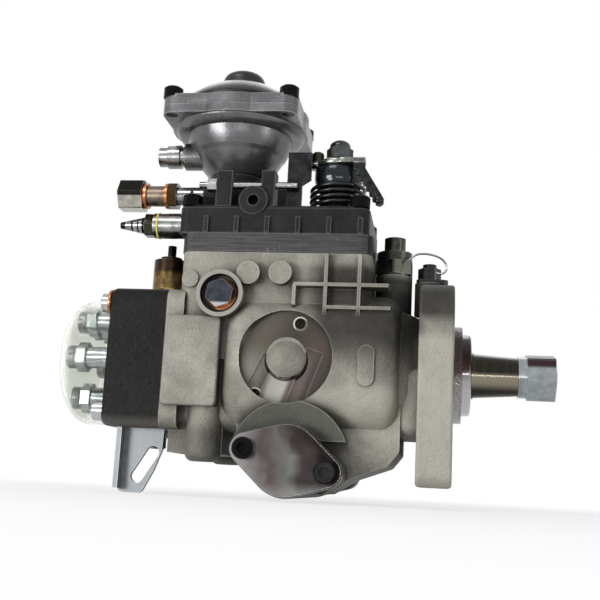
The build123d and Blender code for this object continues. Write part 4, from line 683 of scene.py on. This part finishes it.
def turned_ring(mesh, centre, outline, turn=Matrix(), steps=40, solid=False):
    """Spins an outline of (along, radius) in mm about an axis through centre; unturned it lies along X.

    The outline is a closed loop clear of the axis, or for a solid piece it runs from axis to axis.
    """
    spun = bmesh.new()
    corners = [spun.verts.new((along * MM, 0.0, radius * MM)) for along, radius in outline]
    edges = [spun.edges.new(pair) for pair in zip(corners, corners[1:])]
    if not solid:
        edges.append(spun.edges.new((corners[-1], corners[0])))
    bmesh.ops.spin(spun, geom=corners + edges, cent=(0, 0, 0), axis=(1, 0, 0), angle=2 * pi,
                   steps=steps, use_merge=True, use_duplicate=False)
    bmesh.ops.remove_doubles(spun, verts=spun.verts, dist=1e-7)
    bmesh.ops.recalc_face_normals(spun, faces=spun.faces)
    bmesh.ops.transform(spun, verts=spun.verts, matrix=moved(centre) @ turn)
    join_into(mesh, spun)


def thread_outline(start, end, core, crest, pitch):
    """Ridges of a screw thread between two places along the axis, on a core radius."""
    outline = [(start, core - 0.6)]
    for ridge in range(int((end - start) / pitch)):
        left = start + ridge * pitch
        outline += [(left, core), (left + pitch * 0.4, crest), (left + pitch * 0.6, crest)]
    return outline + [(end, core), (end, core - 0.6)]


def pressed_plate(mesh, corners, thickness_mm, turn, bevel_mm=0.35):
    """A flat plate: an outline in mm in the XY plane, pulled up and its edges eased."""
    plate = bmesh.new()
    face = plate.faces.new([plate.verts.new((px * MM, py * MM, 0)) for px, py in corners])
    top = bmesh.ops.extrude_face_region(plate, geom=[face])
    lifted = [item for item in top["geom"] if isinstance(item, bmesh.types.BMVert)]
    bmesh.ops.translate(plate, verts=lifted, vec=(0, 0, thickness_mm * MM))
    bmesh.ops.recalc_face_normals(plate, faces=plate.faces)
    sharp = [edge for edge in plate.edges if edge.calc_face_angle(0) > radians(20)]
    bmesh.ops.bevel(plate, geom=sharp, offset=bevel_mm * MM, segments=2, profile=0.5, affect="EDGES",
                    clamp_overlap=True, material=-1)
    bmesh.ops.transform(plate, verts=plate.verts, matrix=turn)
    join_into(mesh, plate)


def bent_wire(name, points, radius_mm, finish, body):
    """A stiff round wire through points in mm."""
    curve = bpy.data.curves.new(name, "CURVE")
    curve.dimensions = "3D"
    curve.bevel_depth = radius_mm * MM
    curve.bevel_resolution = 3
    curve.use_fill_caps = True
    spline = curve.splines.new("NURBS")
    spline.points.add(len(points) - 1)
    for point, place in zip(spline.points, points):
        point.co = (*[value * MM for value in place], 1.0)
    spline.order_u = 3
    spline.use_endpoint_u = True
    curve.materials.append(finish)
    wire = bpy.data.objects.new(name, curve)
    bpy.context.scene.collection.objects.link(wire)
    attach(wire, body)


# ------------------------------------------------------------------ threads, washer, paint mark and wire
threads = bmesh.new()
for number in range(VALVE_COUNT):
    angle = radians(360 / VALVE_COUNT * number)
    turned_ring(threads, (0, VALVE_CIRCLE_RADIUS * cos(angle), VALVE_CIRCLE_RADIUS * sin(angle)),
                thread_outline(-199.3, -194.2, core=5.0, crest=6.0, pitch=1.25))
add_piece("valve_threads", threads, bright_finish, "pump_body")

shaft_thread = bmesh.new()
turned_ring(shaft_thread, (0, 0, 0), thread_outline(33.4, 37.0, core=6.6, crest=7.25, pitch=1.5))
add_piece("shaft_thread", shaft_thread, shaft_finish, "drive")

washer_bore, washer_radius, washer_edge, washer_front = 5.3, 7.1, 0.2, HEAD_FACE - 1.6
head_washer = bmesh.new()
turned_ring(head_washer, (0, *HEAD_WASHER_CENTRE),
            [(washer_front, washer_bore), (washer_front, washer_radius - washer_edge),
             (washer_front + 0.4, washer_radius), (HEAD_FACE - 0.3, washer_radius),
             (HEAD_FACE - 0.05, washer_radius - washer_edge), (HEAD_FACE - 0.05, washer_bore)])
add_piece("head_washer", head_washer, copper_finish, "pump_body")

stop_thread = bmesh.new()
turned_ring(stop_thread, (0, *STOP_SCREW), thread_outline(-124.0, -84.0, core=1.5, crest=2.0, pitch=0.8),
            steps=16)
add_piece("stop_thread", stop_thread, bright_finish, "pump_body")

mark_left, mark_right, mark_inside, mark_outside = -160.0, -159.1, 6.9, 7.2
yellow_ring = bmesh.new()
turned_ring(yellow_ring, (0, *FULL_LOAD), [(mark_left, mark_inside), (mark_left, mark_outside),
                                           (mark_right, mark_outside), (mark_right, mark_inside)])
add_piece("full_load_mark", yellow_ring, plain_coat("yellow_paint", (0.5, 0.4, 0.05), (0.62, 0.5, 0.08), 0.4),
          "pump_body")

bent_wire("lock_wire",
          [(-24, -15, 57), (-21, -15.5, 60.5), (-15, -14, 61.5), (-8, -11, 60.5), (-4.5, -10, 57.5),
           (-4, -9.5, 53), (-8, -8.5, 51.5), (-11, -8.0, 53.5)],
          radius_mm=0.55, finish=bright_finish, body="pump_body")


# ------------------------------------------------------------------ fuller dome on the boost unit
dome_foot = BOOST_FLANGE_TOP + 0.05
dome = bmesh.new()
turned_ring(dome, (BOOST_X, 0, 0),
            [(dome_foot, 36.3), (145.2, 34.6), (148.6, 31.6), (152.0, 27.6), (154.8, 23.2), (157.2, 18.4),
             (158.9, 14.4), (159.7, 12.9), (159.4, 12.2), (157.5, 12.2), (151.0, 20.0), (144.0, 30.0),
             (dome_foot, 34.0)], UPRIGHT, steps=64)
add_piece("boost_dome", dome, upper_cover_finish, "pump_body")


# ------------------------------------------------------------------ throttle's bell, return spring and arm
shaft_fit = 4.6              # inner radius of what sits on the throttle shaft
bell = bmesh.new()
turned_ring(bell, (*THROTTLE, 0),
            [(84.0, shaft_fit), (84.0, 9.0), (84.4, 9.4), (94.4, 9.8), (94.6, 10.8), (95.2, 11.3),
             (97.6, 12.1), (99.6, 12.8), (101.5, 13.0), (105.4, 13.0), (106.5, 12.6), (107.0, 11.6),
             (107.0, shaft_fit)], UPRIGHT, steps=56)
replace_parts(add_piece("throttle_bell", bell, cup_finish, "throttle"), "throttle_cup")

wire_radius, coil_radius = 1.1, 14.1
coil_foot, coil_rise, coil_turns, coil_steps = 83.7, 13.1, 4.25, 170
coil = bmesh.new()
bmesh.ops.create_circle(coil, segments=12, radius=wire_radius * MM)
bmesh.ops.transform(coil, verts=coil.verts, matrix=moved((coil_radius, 0, 0)) @ ON_EDGE)
bmesh.ops.spin(coil, geom=coil.verts[:] + coil.edges[:], cent=(0, 0, 0), axis=(0, 0, 1),
               angle=2 * pi * coil_turns, steps=coil_steps, dvec=(0, 0, coil_rise / coil_steps * MM),
               use_merge=False, use_duplicate=False)
bmesh.ops.holes_fill(coil, edges=[edge for edge in coil.edges if edge.is_boundary])
bmesh.ops.recalc_face_normals(coil, faces=coil.faces)
bmesh.ops.transform(coil, verts=coil.verts, matrix=moved((*THROTTLE, coil_foot)))
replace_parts(add_piece("return_coil", coil, spring_finish, "pump_body"), "throttle_spring")

notch_count, notch_step_x, notch_step_z = 7, -1.75, 2.9
post_x, post_y = -74.0, -14.0
arm_y = -23.6                # plane of the hanging arm
pin_x, pin_z = -39.6, 86.6   # where the cable hooks on
arm = bmesh.new()
hub = [(107.05, shaft_fit), (107.05, 11.8), (107.4, 12.5), (109.9, 12.6), (110.4, 12.1), (110.4, 8.6),
       (112.2, 8.4), (112.5, 7.9), (112.5, shaft_fit)]
turned_ring(arm, (*THROTTLE, 0), hub, UPRIGHT, steps=56)
stop_post = [(107.1, 0), (107.1, 4.0), (109.6, 4.1), (110.0, 3.5), (115.4, 3.2), (116.3, 2.4), (116.6, 0)]
turned_ring(arm, (post_x, post_y, 0), stop_post, UPRIGHT, steps=32, solid=True)
lever_plate = [(-7, -9), (2, -13.6), (15, -13.6), (15, -7), (9, 1)]
pressed_plate(arm, lever_plate, 2.8, moved((*THROTTLE, 107.3)))
notches = []
for number in range(notch_count):
    foot_x, foot_z = 21.0 + notch_step_x * number, 84.2 + notch_step_z * number
    notches += [(foot_x, foot_z), (foot_x + 0.2, foot_z + 1.3), (foot_x - 1.5, foot_z + 1.6)]
hanging_arm = [(8.6, 109.6), (14.6, 109.6), (15.2, 104.0), (25.4, 87.4), (25.2, 84.6), (23.6, 83.4)]
pressed_plate(arm, hanging_arm + notches, 2.0, moved((THROTTLE[0], arm_y, 0)) @ ON_EDGE, bevel_mm=0.2)
cable_pin = [(-25.4, 0), (-25.4, 2.3), (-26.4, 2.3), (-26.9, 1.8), (-27.0, 0)]
turned_ring(arm, (pin_x, 0, pin_z), cable_pin, SIDEWAYS, steps=24, solid=True)
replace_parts(add_piece("throttle_arm", arm, arm_plate(), "throttle"), "throttle_lever")


# ------------------------------------------------------------------ stage, light and camera
PUMP_MIDDLE_X = -0.08        # metres, as everything from here on


def seen_or_mirrored(tree):
    """1 for rays that show the white surroundings: from the camera, off gloss and through the clear cap."""
    path = tree.nodes.new("ShaderNodeLightPath")
    share = path.outputs["Is Camera Ray"]
    for kind in ("Is Glossy Ray", "Is Transmission Ray"):
        node = tree.nodes.new("ShaderNodeMath")
        node.operation = "MAXIMUM"
        tree.links.new(share, node.inputs[0])
        tree.links.new(path.outputs[kind], node.inputs[1])
        share = node.outputs[0]
    return share


def white_stage():
    """Pale floor that keeps the pump's shadow and fades to white away from it."""
    material = bpy.data.materials.new("white_stage")
    material.use_nodes = True
    tree = material.node_tree
    shader = tree.nodes["Principled BSDF"]
    shader.inputs["Base Color"].default_value = (0.9, 0.9, 0.9, 1)
    shader.inputs["Roughness"].default_value = 1.0
    shader.inputs["Specular IOR Level"].default_value = 0.0
    glow = tree.nodes.new("ShaderNodeEmission")
    glow.inputs["Color"].default_value = (1, 1, 1, 1)
    place = tree.nodes.new("ShaderNodeTexCoord")
    from_pump = tree.nodes.new("ShaderNodeVectorMath")
    from_pump.operation = "DISTANCE"
    from_pump.inputs[1].default_value = (PUMP_MIDDLE_X, 0.0, cad_box[0][2])
    tree.links.new(place.outputs["Object"], from_pump.inputs[0])
    reach = tree.nodes.new("ShaderNodeMapRange")
    reach.interpolation_type = "SMOOTHSTEP"
    for key, value in (("From Min", 0.1), ("From Max", 0.5), ("To Min", 0.72), ("To Max", 1.0)):
        reach.inputs[key].default_value = value
    tree.links.new(from_pump.outputs["Value"], reach.inputs["Value"])
    share = tree.nodes.new("ShaderNodeMath")
    share.operation = "MULTIPLY"
    tree.links.new(seen_or_mirrored(tree), share.inputs[0])
    tree.links.new(reach.outputs[0], share.inputs[1])
    mix = tree.nodes.new("ShaderNodeMixShader")
    tree.links.new(share.outputs[0], mix.inputs["Fac"])
    tree.links.new(shader.outputs[0], mix.inputs[1])
    tree.links.new(glow.outputs[0], mix.inputs[2])
    tree.links.new(mix.outputs[0], tree.nodes["Material Output"].inputs["Surface"])
    return material


def studio_world():
    """White surroundings that light the pump only dimly."""
    world = bpy.data.worlds.new("studio")
    bpy.context.scene.world = world
    world.use_nodes = True
    tree = world.node_tree
    background = tree.nodes["Background"]
    background.inputs["Color"].default_value = (1, 1, 1, 1)
    strength = tree.nodes.new("ShaderNodeMapRange")
    strength.inputs["To Min"].default_value = 0.3
    strength.inputs["To Max"].default_value = 1.0
    tree.links.new(seen_or_mirrored(tree), strength.inputs["Value"])
    tree.links.new(strength.outputs[0], background.inputs["Strength"])


floor_half, floor_gap = 3.0, 0.0002
floor_mesh = bmesh.new()
bmesh.ops.create_grid(floor_mesh, x_segments=2, y_segments=2, size=floor_half)
bmesh.ops.translate(floor_mesh, verts=floor_mesh.verts, vec=(0, 0, cad_box[0][2] - floor_gap))
floor_data = bpy.data.meshes.new("floor")
floor_mesh.to_mesh(floor_data)
floor_mesh.free()
floor = bpy.data.objects.new("floor", floor_data)
bpy.context.scene.collection.objects.link(floor)
floor.data.materials.append(white_stage())
studio_world()

LAMP_AIM = Vector((PUMP_MIDDLE_X, 0.0, 0.04))
SOFT_LAMPS = {               # place and size in metres, power in watts
    "key": ((-0.8, -0.85, 0.05), (0.45, 0.22), 6.5),
    "low_left": ((-0.42, -0.5, -0.03), (0.2, 0.05), 0.8),
    "over": ((-0.45, -0.7, 0.75), (0.5, 0.25), 3.5),
    "right": ((0.9, -0.5, 0.1), (0.15, 0.5), 2.5),
    "back": ((-0.2, 0.8, 0.9), (0.8, 0.5), 2),
    "strip": ((0.06, -0.9, -0.03), (0.5, 0.03), 0.7)}
for lamp_name, (lamp_place, lamp_size, power) in SOFT_LAMPS.items():
    lamp_data = bpy.data.lights.new(lamp_name, "AREA")
    lamp_data.shape = "RECTANGLE"
    lamp_data.size, lamp_data.size_y = lamp_size
    lamp_data.energy = power
    lamp = bpy.data.objects.new(lamp_name, lamp_data)
    lamp.location = lamp_place
    lamp.rotation_euler = (LAMP_AIM - Vector(lamp_place)).to_track_quat("-Z", "Y").to_euler()
    bpy.context.scene.collection.objects.link(lamp)

# The camera stands a little towards the drive end and below, looks up at the pump and is rolled.
VIEW_TURN, VIEW_TIP, VIEW_ROLL = radians(8.5), radians(11), radians(3)
VIEW_AIM, VIEW_DISTANCE = Vector((-0.082, 0.0, 0.038)), 0.510
FOCAL_PIXELS, FRAME_PIXELS, SENSOR_MM = 944.4, 600.0, 36.0
backward = Vector((sin(VIEW_TURN) * cos(VIEW_TIP), -cos(VIEW_TURN) * cos(VIEW_TIP), -sin(VIEW_TIP)))
level_right = (-backward).cross(Vector((0, 0, 1))).normalized()
level_up = level_right.cross(-backward).normalized()
frame_right = cos(VIEW_ROLL) * level_right + sin(VIEW_ROLL) * level_up
frame_up = -sin(VIEW_ROLL) * level_right + cos(VIEW_ROLL) * level_up
camera_data = bpy.data.cameras.new("camera")
camera_data.sensor_width = SENSOR_MM
camera_data.lens = FOCAL_PIXELS * SENSOR_MM / FRAME_PIXELS
camera_data.clip_start = 0.01
camera = bpy.data.objects.new("camera", camera_data)
axes_of_camera = Matrix((frame_right, frame_up, backward)).transposed().to_4x4()
camera.matrix_world = Matrix.Translation(VIEW_AIM + VIEW_DISTANCE * backward) @ axes_of_camera
bpy.context.scene.collection.objects.link(camera)
bpy.context.scene.camera = camera
bpy.context.scene.view_settings.view_transform = "Standard"
